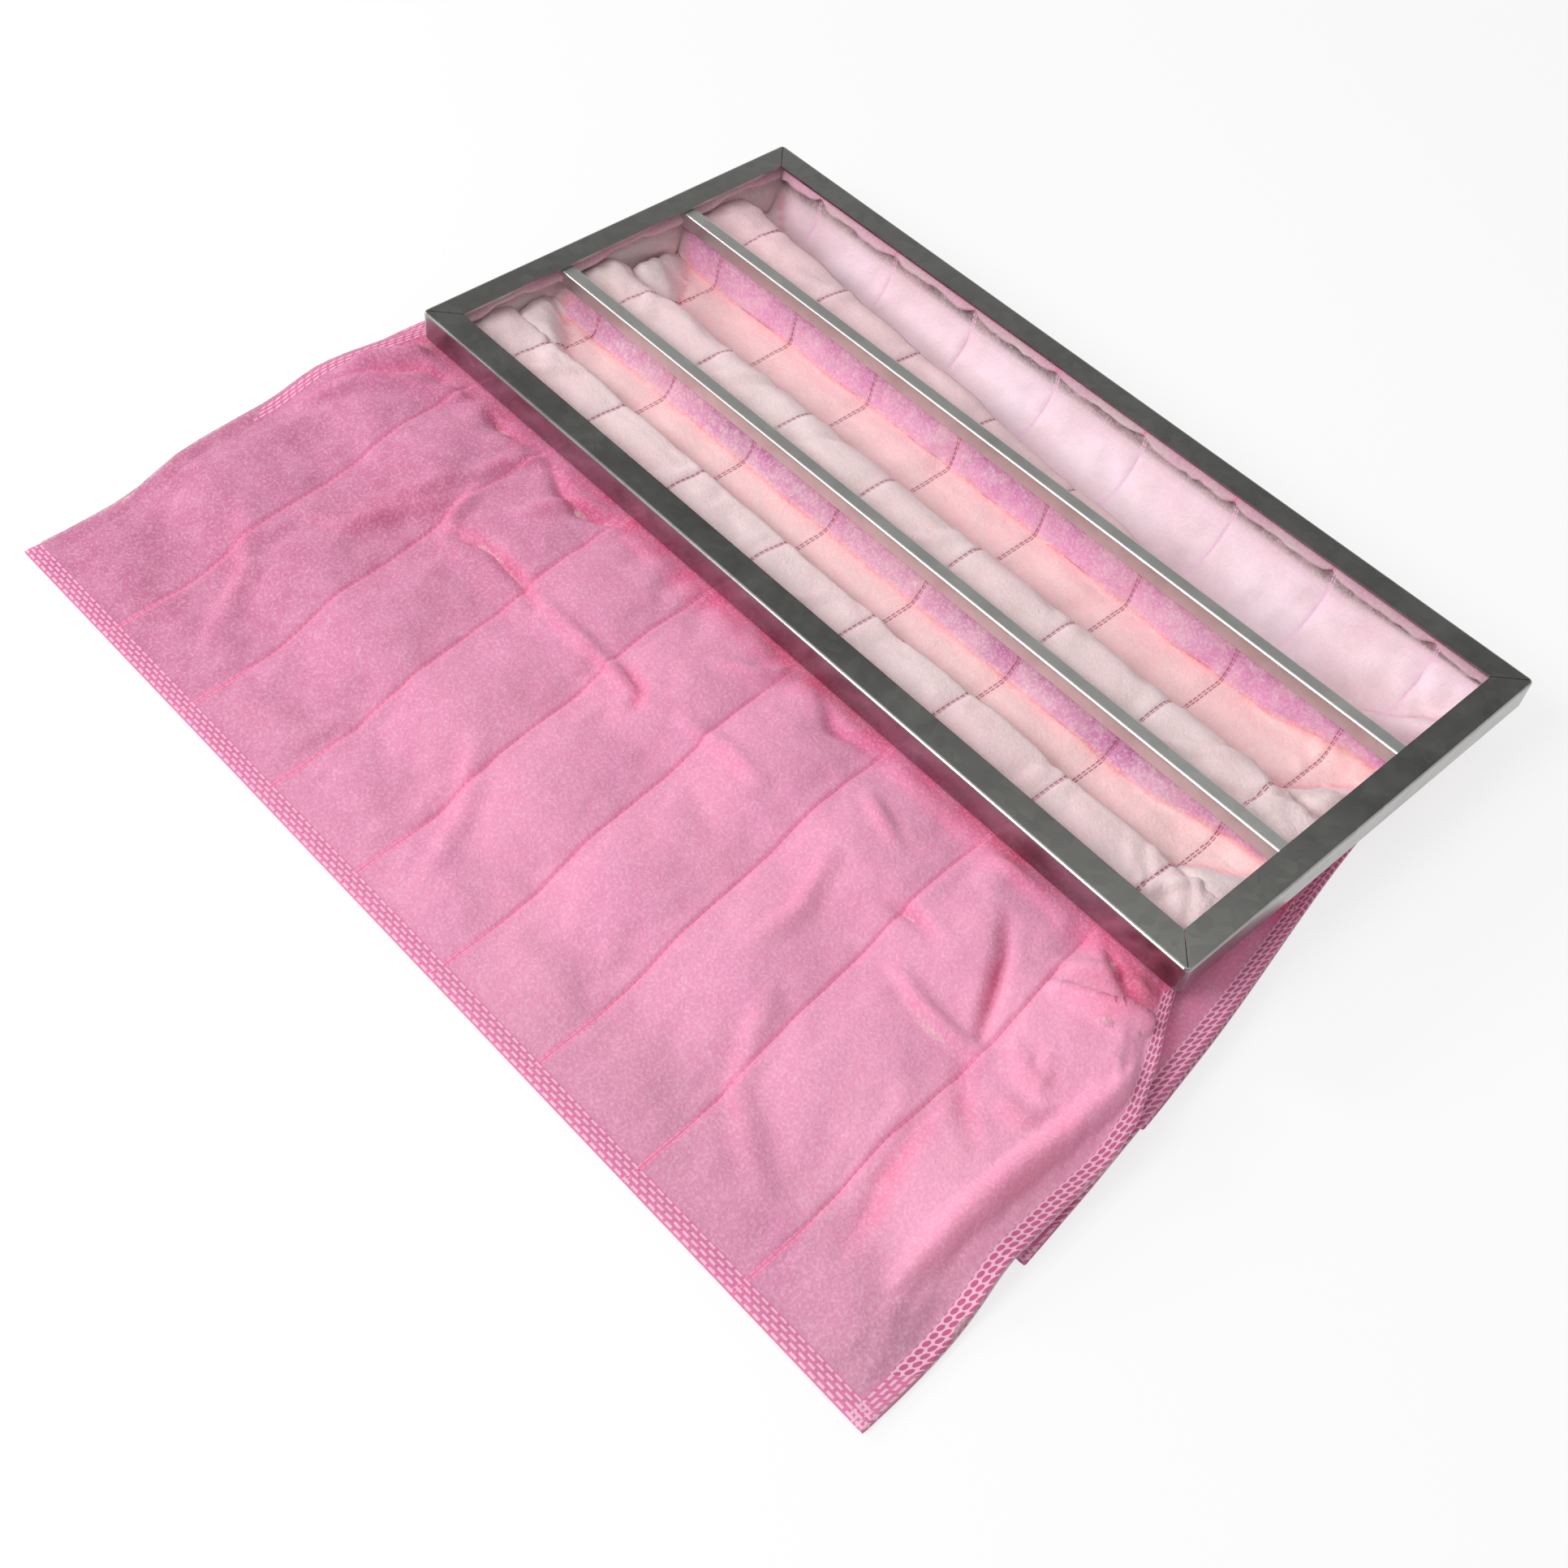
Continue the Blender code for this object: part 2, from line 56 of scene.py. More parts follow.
def addNode(material, kind, settings=None, inputs=None):
    # settings are the node's own; inputs are constants or output sockets, by name or number
    node = material.node_tree.nodes.new("ShaderNode" + kind)
    for key, value in (settings or {}).items():
        setattr(node, key, value)
    for key, value in (inputs or {}).items():
        if isinstance(value, bpy.types.NodeSocket):
            material.node_tree.links.new(value, node.inputs[key])
        else:
            node.inputs[key].default_value = value
    return node


def newMaterial(name):
    material = bpy.data.materials.new(name)
    material.use_nodes = True
    return material, material.node_tree.nodes["Principled BSDF"]


def smooth(t):
    t = np.clip(t, 0, 1)
    return t * t * (3 - 2 * t)


def mix(a, b, share):
    return a + (b - a) * share


def softNoise(x, y, size, seed):
    # smooth noise from -1 to 1 whose lumps are about size across
    count, start = 256, 40.0
    lattice = np.random.default_rng(seed).uniform(-1, 1, (count, count))
    u, v = np.asarray(x) / size + start, np.asarray(y) / size + start
    column, row = np.floor(u).astype(int), np.floor(v).astype(int)
    fu, fv = smooth(u - column), smooth(v - row)

    def rowAt(number):
        return mix(lattice[number % count, column % count], lattice[number % count, (column + 1) % count], fu)

    return mix(rowAt(row), rowAt(row + 1), fv)


# Pockets: the same sizes as the solids, in metres

pocketSizes = {
    "headerWidth": 0.287, "headerLength": 0.592, "wireInset": 0.012,
    "frontZ": 0.0494, "exitZ": 0.0375, "wireZ": 0.04505,  # header face, back of the bars, wire
    "wrapRadius": 0.0014, "wrapFlat": 0.0008, "wrapCrown": 0.0012, "flapLength": 0.0075,
    "media": 0.0020, "pinched": 0.0005, "air": 0.0050, "pitch": 0.0098,  # thickness, room in a bag, one bag
    "length": 0.354, "halfWidth": 0.3245, "seamBand": 0.010, "columns": 9,
    "weldGap": 0.0005,  # half the distance between the middles of two welded walls
    # in the mouth: the far wall's run, how far the slack's ridge reaches and sinks
    "farRun": 0.017, "crestReach": 0.042, "ridgeDrop": 0.0034, "joinSetback": 0.005,
    "farCrest": (0.045, 0.016), "farCrestRun": 0.420,
    # lying: over how much it steps down, closes, drifts to the right and spreads to its full width
    "droopRun": 0.050, "closingRun": 0.110, "drift": 0.018, "driftRun": 0.250, "skew": 0.007,
    "spreadRun": 0.300,
    # how far the top pocket's right edge swells, by distance in front of the header's middle
    "rightBulge": [(0.138, 0.0), (0.155, 0.006), (0.174, 0.013), (0.206, 0.019),
                   (0.228, 0.017), (0.264, 0.0075), (0.300, 0.0)],
}
size = SimpleNamespace(**pocketSizes)
wireX = size.headerLength / 2 - size.wireInset
mouthEdgeY = size.headerWidth / 2 - size.wireInset
stitchSpacing = 2 * (size.halfWidth - size.seamBand) / size.columns
lastLine = size.halfWidth - size.seamBand - stitchSpacing
# each pocket's walls at the mouth, where its left and right edges start to spread, and how its far wall
# falls: share of its run, share of the depth
pockets = [
    {"name": "far", "nearY": 0.05065, "farY": mouthEdgeY, "spreadFrom": (0.160, 0.085),
     "fall": [(0.03, 0.26), (0.22, 0.50), (0.50, 0.70), (0.90, 0.88), (1.60, 0.97)]},
    {"name": "middle", "nearY": -0.04695, "farY": 0.04695, "spreadFrom": (0.160, 0.085),
     "fall": [(0.03, 0.26), (0.10, 0.52), (0.19, 0.76), (0.30, 0.92), (1.10, 0.98)]},
    {"name": "near", "nearY": -mouthEdgeY, "farY": -0.05065, "spreadFrom": (0.040, -0.055),
     "fall": [(0.03, 0.26), (0.16, 0.52), (0.34, 0.76), (0.55, 0.92), (1.30, 0.98)]},
]
pockets = [SimpleNamespace(**pocket) for pocket in pockets]
headerLow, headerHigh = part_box("header_frame")
middleX = (headerLow[0] + headerHigh[0]) / 2
middleY = (headerLow[1] + headerHigh[1]) / 2


def endY(index):
    level = size.media / 2 + index * size.pitch
    return pockets[index].farY - (size.length - (size.exitZ - level) + size.farRun / 2)


def farLevel(index, y):
    # height of the middle of the far wall, which steps down past the end of each pocket below
    height = size.media / 2 + 0 * np.asarray(y)
    for lower in range(index):
        height = height + size.pitch * smooth((y - endY(lower)) / size.droopRun + 1)
    return height


def lean(y):
    return smooth((-size.headerWidth / 2 - y) / size.driftRun)


def gathered(pocket, along, y):
    left, right = pocket.spreadFrom
    return 1 - smooth((np.where(along < 0, left, right) - y) / size.spreadRun)


def spread(pocket, along, y):
    past = np.maximum(np.abs(along) - lastLine, 0)
    share = (size.halfWidth - wireX) / (size.halfWidth - lastLine)
    return along - past * share * gathered(pocket, along, y) * np.sign(along)


def mouthRows(pocket, along, isFar):
    # the frayed edge, up and over the wire, and down to the back of the bars
    crown = size.wireZ + size.wrapCrown
    profile = [
        (-size.wrapRadius, size.wireZ - size.flapLength),
        (-size.wrapRadius, size.wireZ), (-size.wrapFlat, crown), (size.wrapFlat, crown),
        (size.wrapRadius, size.wireZ), (size.wrapRadius, size.exitZ),
    ]
    middle = (pocket.nearY + pocket.farY) / 2
    share = np.maximum(np.abs(along) - wireX, 0) / (size.halfWidth - wireX)
    rows = []
    for out, z in profile:
        wallY = np.where(isFar, pocket.farY + out, pocket.nearY - out)
        x = np.clip(along, -wireX, wireX) * (1 + out / wireX)
        rows.append(np.stack([x, mix(wallY, middle, share), 0 * x + z], axis=1))
    return rows


def crestReach(index, along):
    # the far pocket's ridge tapers from left to right; the others' doesn't
    share = np.clip((along + wireX) / size.farCrestRun, 0, 1)
    return mix(*size.farCrest, share) if index == 0 else size.crestReach + 0 * along


def foldRows(pocket, index, along, isFar):
    # the far wall drops and lies down; the near wall's slack rises as a ridge and doubles back
    joinY = pocket.nearY - size.joinSetback
    level = float(farLevel(index, joinY))
    exitZ, nearY = size.exitZ, pocket.nearY
    start = pocket.farY + size.wrapRadius
    # the far wall by where it falls, the near wall point by point along its slack
    farPath = [(start - run * size.farRun, mix(exitZ, level, depth)) for run, depth in pocket.fall]
    lastY, lastZ = farPath[-1]
    for share in (0.25, 0.5, 0.75, 1.0):
        farPath.append((mix(lastY, joinY, share), mix(lastZ, level, float(smooth(2 * share)))))
    reach = crestReach(index, along)
    top, crest = exitZ - size.ridgeDrop, nearY + reach
    joinZ = level + size.media + size.air
    low = joinZ + 0.0022 * (2 - index)
    nearPath = [
        (nearY + 0.0010, mix(exitZ, top, 0.8)), (nearY + 0.0060, top - 0.0004),
        (nearY + reach / 2, top + 0.0004), (crest - 0.0065, top - 0.0010),
        (crest, mix(top - 0.0010, low, 0.36)), (crest - 0.0010, mix(top - 0.0010, low, 0.8)),
        (crest - 0.0085, low), (nearY + reach * 0.33, (low + joinZ) / 2), (joinY, joinZ),
    ]
    middle = (nearY + pocket.farY) / 2
    seamZ = level + (size.media + size.air) / 2
    share = np.maximum(np.abs(along) - wireX, 0) / (size.halfWidth - wireX)
    rows = []
    for step in range(9):
        wallY = np.where(isFar, farPath[step][0], nearPath[step][0])
        wallZ = np.where(isFar, farPath[step][1], nearPath[step][1])
        sideY = mix(middle, joinY, float(smooth((step + 1) / 9)))
        sideZ = mix(exitZ, seamZ, float(smooth((step + 1) / 5)))
        inside = np.clip(along, -wireX, wireX) * (1 + mix(size.wrapRadius, 0, step / 9) / wireX)
        x = mix(inside, spread(pocket, along, joinY), float(smooth((step - 5) / 3)))
        rows.append(np.stack([x, mix(wallY, sideY, share), mix(wallZ, sideZ, share)], axis=1))
    return rows


def bulge(index, x, y):
    # the swelling grows from the last column to the edge
    depth, out = zip(*size.rightBulge)
    return np.interp(-np.asarray(y), depth, out) * smooth((x - 0.215) / 0.085) * (index == 2)


def flatRows(pocket, index, along, isFar):
    # two walls lying on what is below, closing to the welded end
    joinY, lastY = pocket.nearY - size.joinSetback, endY(index)
    weldY = lastY + size.seamBand
    steps = int((joinY - weldY) / 0.011)
    ys = list(np.linspace(joinY, weldY, steps + 1)[1:]) + [lastY + 0.0012, lastY]
    toSide = size.halfWidth - np.abs(along)
    rows = []
    for y in ys:
        fill = float(smooth((y - weldY) / size.closingRun))
        farZ = farLevel(index, y)
        half = (size.media + size.air * fill) / 2
        welded = 1 - smooth((toSide - size.seamBand) / 0.022) * smooth((y - weldY) / 0.014)
        gap = mix(half, size.weldGap, welded) * (0 if y == lastY else 1)
        z = farZ + half + np.where(isFar, -gap, gap) * (toSide > 0)
        x = spread(pocket, along, y) + size.drift * lean(y)
        x = x + bulge(index, x, y)
        rows.append(np.stack([x, y + size.skew * lean(y) * along / size.halfWidth, z], axis=1))
    return rows


def ringSamples(offsets, closeFrom=1.0):
    # places across a wall from seam to seam: offsets are distances from each stitch line,
    # with one more between each two past closeFrom
    fromEdge, closest = 0.0006, 0.0004
    lines = [-size.halfWidth + size.seamBand + i * stitchSpacing for i in range(size.columns + 1)]
    places = {round(line + side * offset, 6) for line in lines for offset in offsets for side in (-1, 1)}
    places = {place for place in places if abs(place) < size.halfWidth - fromEdge}
    places |= {-size.halfWidth, size.halfWidth}
    kept = []
    for place in sorted(places):
        if not kept or place - kept[-1] > closest:
            kept.append(place)
    kept[-1] = size.halfWidth
    return np.array(sorted(kept + [(a + b) / 2 for a, b in zip(kept, kept[1:]) if a > closeFrom]))


def densify(rows, spacing, flatSpacing, closeSpacing, isFar):
    # a smooth curve through the rows; each wall uses its own distances
    rows = np.array(rows)
    fromMiddle = np.abs(np.abs(rows[10, :, 0]) - 0.15)
    centre = {wall: np.argmin(fromMiddle + 9 * (isFar != wall)) for wall in (True, False)}
    lengths = {w: np.linalg.norm(np.diff(rows[:, c], axis=0), axis=1) + 1e-6 for w, c in centre.items()}
    h = np.where(isFar[None, :], lengths[True][:, None], lengths[False][:, None])[..., None]
    slope = np.diff(rows, axis=0) / h
    tangent = np.empty_like(rows)
    tangent[1:-1] = (slope[:-1] * h[1:] + slope[1:] * h[:-1]) / (h[:-1] + h[1:])
    tangent[0], tangent[-1] = slope[0], slope[-1]
    made, station = [], []
    for j in range(len(rows) - 1):
        widest = spacing if j < 15 else closeSpacing if j < 23 else flatSpacing
        count = max(1, math.ceil(max(lengths[True][j], lengths[False][j]) / widest))
        for i in range(count):
            t = i / count
            a, b = (1 + 2 * t) * (1 - t) ** 2, t * (1 - t) ** 2
            c, d = t * t * (3 - 2 * t), t * t * (t - 1)
            made.append(a * rows[j] + b * h[j] * tangent[j] + c * rows[j + 1] + d * h[j] * tangent[j + 1])
            station.append(j + t)
    made.append(rows[-1])
    station.append(len(rows) - 1)
    return np.array(made), np.array(station)


# stations count the rows that shape a pocket: 0 to 5 go over the wire, 6 to 14 are the slack and the folds in
# the mouth, 15 and on lie flat; rows put in between get the fractions
def pocketGrid(index, farOffsets, nearOffsets, closeFrom, spacing, flatSpacing, closeSpacing):
    pocket = pockets[index]
    far, near = ringSamples(farOffsets), ringSamples(nearOffsets, closeFrom)
    along = np.concatenate([far, near[-2:0:-1]])
    isFar = np.arange(len(along)) < len(far)
    rows = mouthRows(pocket, along, isFar) + foldRows(pocket, index, along, isFar)
    rows += flatRows(pocket, index, along, isFar)
    points, station = densify(rows, spacing, flatSpacing, closeSpacing, isFar)
    step = np.linalg.norm(np.diff(points, axis=0), axis=2)
    run = np.vstack([np.zeros(len(along)), np.cumsum(step, axis=0)])
    return SimpleNamespace(
        index=index, pocket=pocket, points=points, along=along, isFar=isFar,
        station=station, run=run, toEnd=run[-1] - run, lastStation=len(rows) - 1)


def gridNormals(points):
    around = np.roll(points, -1, axis=1) - np.roll(points, 1, axis=1)
    down = np.gradient(points, axis=0)
    normal = np.cross(around, down)
    return normal / np.maximum(np.linalg.norm(normal, axis=2, keepdims=True), 1e-9)


def toStitch(along):
    # distance from the nearest stitch line, and the share of the way to the middle of its column
    edge = size.halfWidth - size.seamBand
    place = (along + edge) / stitchSpacing
    distance = np.abs(place - np.round(place)) * stitchSpacing
    inBand = np.abs(along) > edge
    return np.where(inBand, 0, distance), np.where(inBand, 0, 2 * distance / stitchSpacing)


# How the cloth lies: puffed columns, folds and how far each part is free to move

clothLie = {
    "puffInside": 0.0009, "puffOutside": 0.0030, "stitchDepth": 0.0008, "stitchWidth": 0.0013,
    "pucker": 0.0008, "puckerSize": 0.011, "waves": 0.0012, "waveSize": 0.055,
    "gathers": 0.0026, "bunch": 0.0026, "crumple": 0.0024, "foldScale": 1.35, "room": 0.0026,
    "endRise": 0.015, "endStep": 0.0026, "endSlant": (0.230, 0.268),  # the far wall's raised ends
    "simFrames": 14, "simSlack": 0.007, "simCap": 0.0035,
}
lie = SimpleNamespace(**clothLie)

# folds on the top pocket, in millimetres: points along the fold from the middle of the header,
# height, half width, and how much steeper its far side is; a valley has a negative height
topFolds = [
    ([(216, -178), (227, -192), (237, -209), (247, -226)], -3.6, 4.2, -1.6),
    ([(202, -234), (224, -238), (243, -237), (256, -234)], 3, 4.5, 1.4),
    ([(252, -236), (261, -249), (273, -259), (286, -267)], -1.8, 5, 0.8),
    ([(266, -221), (276, -226), (285, -224), (281, -215)], 2.8, 5.2, 0.7),
    ([(275, -245), (291, -244), (295, -234)], 2.8, 5.6, 0.6),
    ([(313, -186), (312, -207), (311, -226), (309, -263), (309, -294), (309, -330)], 5.2, 6, -2.6),
    ([(262, -262), (270, -300), (282, -338)], -2, 6.5, 1),
    ([(258, -182), (279, -176), (291, -168), (304, -157)], 8.5, 4.2, -4),
    ([(252, -172), (266, -164), (280, -158), (292, -151)], 3.4, 4.5, 1),
    ([(258, -150), (272, -158), (292, -163)], -5.6, 3.4, 0),
    ([(132, -215), (137, -227), (143, -245), (143, -274)], 2.4, 5, 1.2),
    ([(120, -177), (132, -183), (148, -187)], 2.4, 4, 1),
    ([(174, -208), (185, -206), (196, -206)], -2.2, 4, 1),
    ([(187, -156), (200, -154), (212, -150)], 2.6, 4, 1),
    ([(-161, -223), (-134, -215), (-107, -216), (-88, -220)], -2.8, 4, 1.4),
    ([(-93, -220), (-53, -220), (-15, -220), (0, -221)], 2.4, 3.8, 1.2),
    ([(-23, -214), (-6, -217), (1, -226)], -3.2, 3.2, 0),
    ([(25, -215), (50, -211), (79, -212)], 2, 4.5, 1),
    ([(-207, -256), (-194, -224), (-187, -202)], 2, 6, 1),
    ([(-220, -153), (-205, -156), (-184, -153)], -3.6, 4, 0),
    ([(-166, -151), (-138, -163), (-124, -163), (-102, -151)], -4, 4.2, 0),
    ([(-182, -191), (-177, -166), (-166, -151)], 2.6, 4.5, 1),
    ([(-176, -195), (-169, -216), (-160, -229)], 2.2, 4.5, 1),
    ([(-223, -277), (-199, -266), (-190, -235), (-180, -218)], 2.8, 5.5, 1.2),
    ([(-140, -189), (-129, -162), (-110, -147)], 3.4, 5, 1.4),
    ([(11, -178), (28, -167), (37, -148)], 3.4, 4.5, 1.4),
    ([(60, -150), (78, -160), (100, -152)], -3, 4, 0),
    ([(-298, -226), (-286, -196), (-268, -175), (-244, -158)], 4.4, 4.2, -2),
    ([(-312, -200), (-300, -180), (-286, -155)], 4.6, 3.8, -1.6),
    ([(-303, -206), (-291, -184), (-276, -164), (-262, -156)], -4, 3.6, 0),
    ([(-40, -300), (-10, -330), (4, -362)], 1.8, 7, 1),
    ([(170, -290), (190, -325), (230, -350)], 1.8, 7, 1),
    ([(-250, -300), (-215, -322), (-190, -360)], 1.8, 7, 1),
]
# folds on the slack inside each mouth, given in the same way
slackFolds = {
    0: [([(-200, 68), (-180, 80)], 1.6, 4, 0.8)],
    1: [([(-165, -40), (-150, -22), (-142, -8)], 3, 4.5, 1.6),
        ([(-98, -36), (-85, -20), (-80, -8)], -2.2, 4, 1),
        ([(5, -40), (20, -22), (22, -10)], 2.4, 4.5, 1.2),
        ([(190, -40), (215, -20), (230, -6)], 3.4, 4.5, 1.6),
        ([(215, -42), (240, -28), (262, -4)], -3, 4, 1.2)],
    2: [([(-10, -126), (6, -112), (12, -98)], 2, 4.5, 1),
        ([(-236, -122), (-222, -108), (-214, -94)], 2.4, 4.5, 1),
        ([(232, -126), (250, -112), (262, -90)], 3, 4.5, 1.4)],
}

# folds that run from each corner by a bar to the ridge: place on the ridge, height, half width
endFolds = [(262, 3.0, 4.2), (248, -2.6, 3.4), (236, 2.6, 4.0), (276, -2.8, 3.0)]


def foldHeight(x, y, folds):
    # each fold's height, and how strongly painted shade colours its crease
    height, crease = np.zeros_like(x), np.zeros_like(x)
    for line, *shape in folds:
        line = [(px / 1000, py / 1000) for px, py in line]
        lift, width, tilt = (value / 1000 for value in shape)
        best = np.full(x.shape, 1e9)
        share, side = np.zeros_like(x), np.zeros_like(x)
        lengths = [math.dist(a, b) for a, b in zip(line, line[1:])]
        walked = 0.0
        for (ax, ay), (bx, by), length in zip(line, line[1:], lengths):
            t = np.clip(((x - ax) * (bx - ax) + (y - ay) * (by - ay)) / length ** 2, 0, 1)
            dx, dy = x - mix(ax, bx, t), y - mix(ay, by, t)
            distance = np.hypot(dx, dy)
            nearer = distance < best
            best = np.where(nearer, distance, best)
            side = np.where(nearer, np.sign((bx - ax) * dy - (by - ay) * dx), side)
            share = np.where(nearer, (walked + t * length) / sum(lengths), share)
            walked += length
        near = best / width
        bell = np.exp(-near ** 2) * np.sin(np.pi * np.clip(0.12 + 0.76 * share, 0, 1))
        height += (lift + 2.3 * tilt * side * near) * bell
        crease += bell * (abs(lift) if lift < 0 else 0.35 * lift) / 0.004
    return height, np.clip(crease, 0, 1)


def freedom(grid):
    # 1 where the cloth is free, 0 where it is held or pressed between its neighbours
    x, y, station = grid.points[..., 0], grid.points[..., 1], grid.station[:, None]
    along, isFar = grid.along[None, :], grid.isFar[None, :]
    fold = smooth((station - 5.6) / 1.6) * (1 - smooth((station - 12.2) / 1.6))
    toBand = size.halfWidth - size.seamBand - np.abs(along)
    welded = smooth(toBand / 0.006)
    outside = smooth((-size.headerWidth / 2 + 0.001 - y) / 0.014) * (station > 14)
    if grid.index < 2:
        above = spread(pockets[2], np.sign(along) * size.halfWidth, y) + size.drift * lean(y)
        above = above + bulge(2, above, y)
        outside = outside * smooth((np.abs(x) - np.abs(above) - 0.001) / 0.008)
    outside = outside * smooth((grid.toEnd - size.seamBand) / 0.03)
    return np.where(isFar, fold, np.maximum(fold, outside) * welded), fold, outside * ~isFar * welded


def lieOfCloth(grid):
    # puffs, puckers and folds, as a distance along the outward normal
    points, station = grid.points, grid.station[:, None]
    along = grid.along[None, :]
    x, y = points[..., 0], points[..., 1]
    free, fold, outside = freedom(grid)
    distance, share = toStitch(along)
    puff = np.sin(np.pi * share / 2)
    height = puff * (lie.puffOutside * outside - lie.puffInside * fold)
    seed = 11 * grid.index
    near = np.exp(-(distance / 0.013) ** 2)
    pucker = softNoise(along * 1.6, grid.run, lie.puckerSize, seed + 1)
    waves = softNoise(along, grid.run, lie.waveSize, seed + 2)
    waves = waves + 0.5 * softNoise(along, grid.run * 1.4, lie.waveSize * 0.45, seed + 3)
    loose = lie.pucker * pucker * near + lie.waves * waves * smooth(share * 2)
    height = height + free * loose
    # drawn in along the header, where the pocket comes out from under it
    fromHeader = -size.headerWidth / 2 - y
    gathers = softNoise(x, 0.4 * y, 0.013, seed + 4) * np.exp(-((fromHeader - 0.010) / 0.016) ** 2)
    height = height + outside * lie.gathers * gathers
    # bunched up at both ends of the mouth, in folds that run out from its corners
    turn = np.arctan2(points[..., 2] - 0.034, np.abs(x) - wireX - 0.006)
    bunch = softNoise(turn * 0.030, y * 0.6, 0.0080, seed + 5)
    bunch = bunch + 0.7 * softNoise(0.5 * x, y + x, 0.0055, seed + 6)
    atEnds = smooth((np.abs(x) - 0.205) / 0.06) * smooth((station - 5.6) / 1.2)
    inMouth = 1 - 0.8 * smooth((np.abs(along) - wireX + 0.012) / 0.010)
    height = height - lie.bunch * np.maximum(fold, 0.8 * (station < 9)) * atEnds * bunch * inMouth
    # crumples on the lower pockets and folds on the top one; their creases carry painted shade
    if grid.index < 2:
        crumple = softNoise(x, y, 0.012, seed + 7) + 0.7 * softNoise(x + y, y, 0.007, seed + 8)
        height = height + lie.crumple * crumple * outside
        grid.crease = np.clip(-0.9 * crumple, 0, 1) * outside
    else:
        lift, crease = foldHeight(x, y, topFolds)
        height = height + lie.foldScale * lift * outside
        grid.crease = crease * outside
    farY, nearY = 1000 * grid.pocket.farY, 1000 * grid.pocket.nearY
    rays = []
    for side in (-1, 1):
        for reach, lift, width in endFolds:
            bend = (side * (286 + reach) / 2, mix(farY, nearY, 0.38))
            rays.append(([(side * 286, farY - 12), bend, (side * reach, nearY + 42)], lift, width, 0.8))
    height = height - foldHeight(x, y, rays)[0] * onFloor(station) * grid.isFar[None, :]
    onRidge = (station > 5) * (station < 10.5) * ~grid.isFar[None, :]
    return height - foldHeight(x, y, slackFolds[grid.index])[0] * onRidge


def onFloor(station):
    # the part of the far wall that lies in the mouth
    return smooth((station - 6.5) / 1.5) * (1 - smooth((station - 12.4) / 1.2))


def endOfMouth(grid):
    # how far a point lies past the slanting crease that shuts each end of a mouth, towards the end
    pocket, points = grid.pocket, grid.points
    low, high = pocket.nearY + 0.040, pocket.farY - 0.010
    slant = np.clip((points[..., 1] - low) / (high - low), 0, 1.2)
    uneven = softNoise(points[..., 1], points[..., 0], 0.014, 90 + grid.index)
    return np.abs(points[..., 0]) - mix(*lie.endSlant, slant) + 0.003 * uneven


def liftEnds(grid, points):
    # past that crease the far wall rises to the mouth's corner
    station = grid.station[:, None]
    past = endOfMouth(grid)
    clear = smooth((points[..., 1] - grid.pocket.nearY - 0.036) / 0.014)
    inMouth = 1 - smooth((np.abs(grid.along) - wireX + 0.014) / 0.020)[None, :]
    rise = (lie.endRise * smooth(past / 0.030) + lie.endStep * smooth(past / 0.004)) * inMouth
    rise = rise * onFloor(station) * grid.isFar[None, :] * clear
    points[..., 2] = np.minimum(points[..., 2] + rise, np.maximum(points[..., 2], size.exitZ - 0.004))
    return points


def keepRoom(grid, points):
    # the top wall never sinks into the wall below it
    isFar = grid.isFar
    for row in np.flatnonzero(grid.station > 15):
        below, before = points[row, isFar], grid.points[row]
        room = before[~isFar, 2] - np.interp(before[~isFar, 0], before[isFar, 0], before[isFar, 2])
        lowest = np.interp(points[row, ~isFar, 0], below[:, 0], below[:, 2]) + np.minimum(room, lie.room)
        points[row, ~isFar, 2] = np.maximum(points[row, ~isFar, 2], lowest)
    return points


def stitchGroove(grid):
    fold, outside = freedom(grid)[1:]
    distance = toStitch(grid.along[None, :])[0]
    return lie.stitchDepth * np.exp(-(distance / lie.stitchWidth) ** 2) * (fold - outside)


def ringFaces(rows, columns):
    row = np.arange(rows - 1)[:, None] * columns
    column = np.arange(columns)[None, :]
    here, after = row + column, row + (column + 1) % columns
    return np.stack([here, after, after + columns, here + columns], axis=2).reshape(-1, 4)


def meshFrom(name, points, faces):
    mesh = bpy.data.meshes.new(name)
    mesh.from_pydata(points.tolist(), [], faces if isinstance(faces, list) else faces.tolist())
    mesh.update()
    return mesh


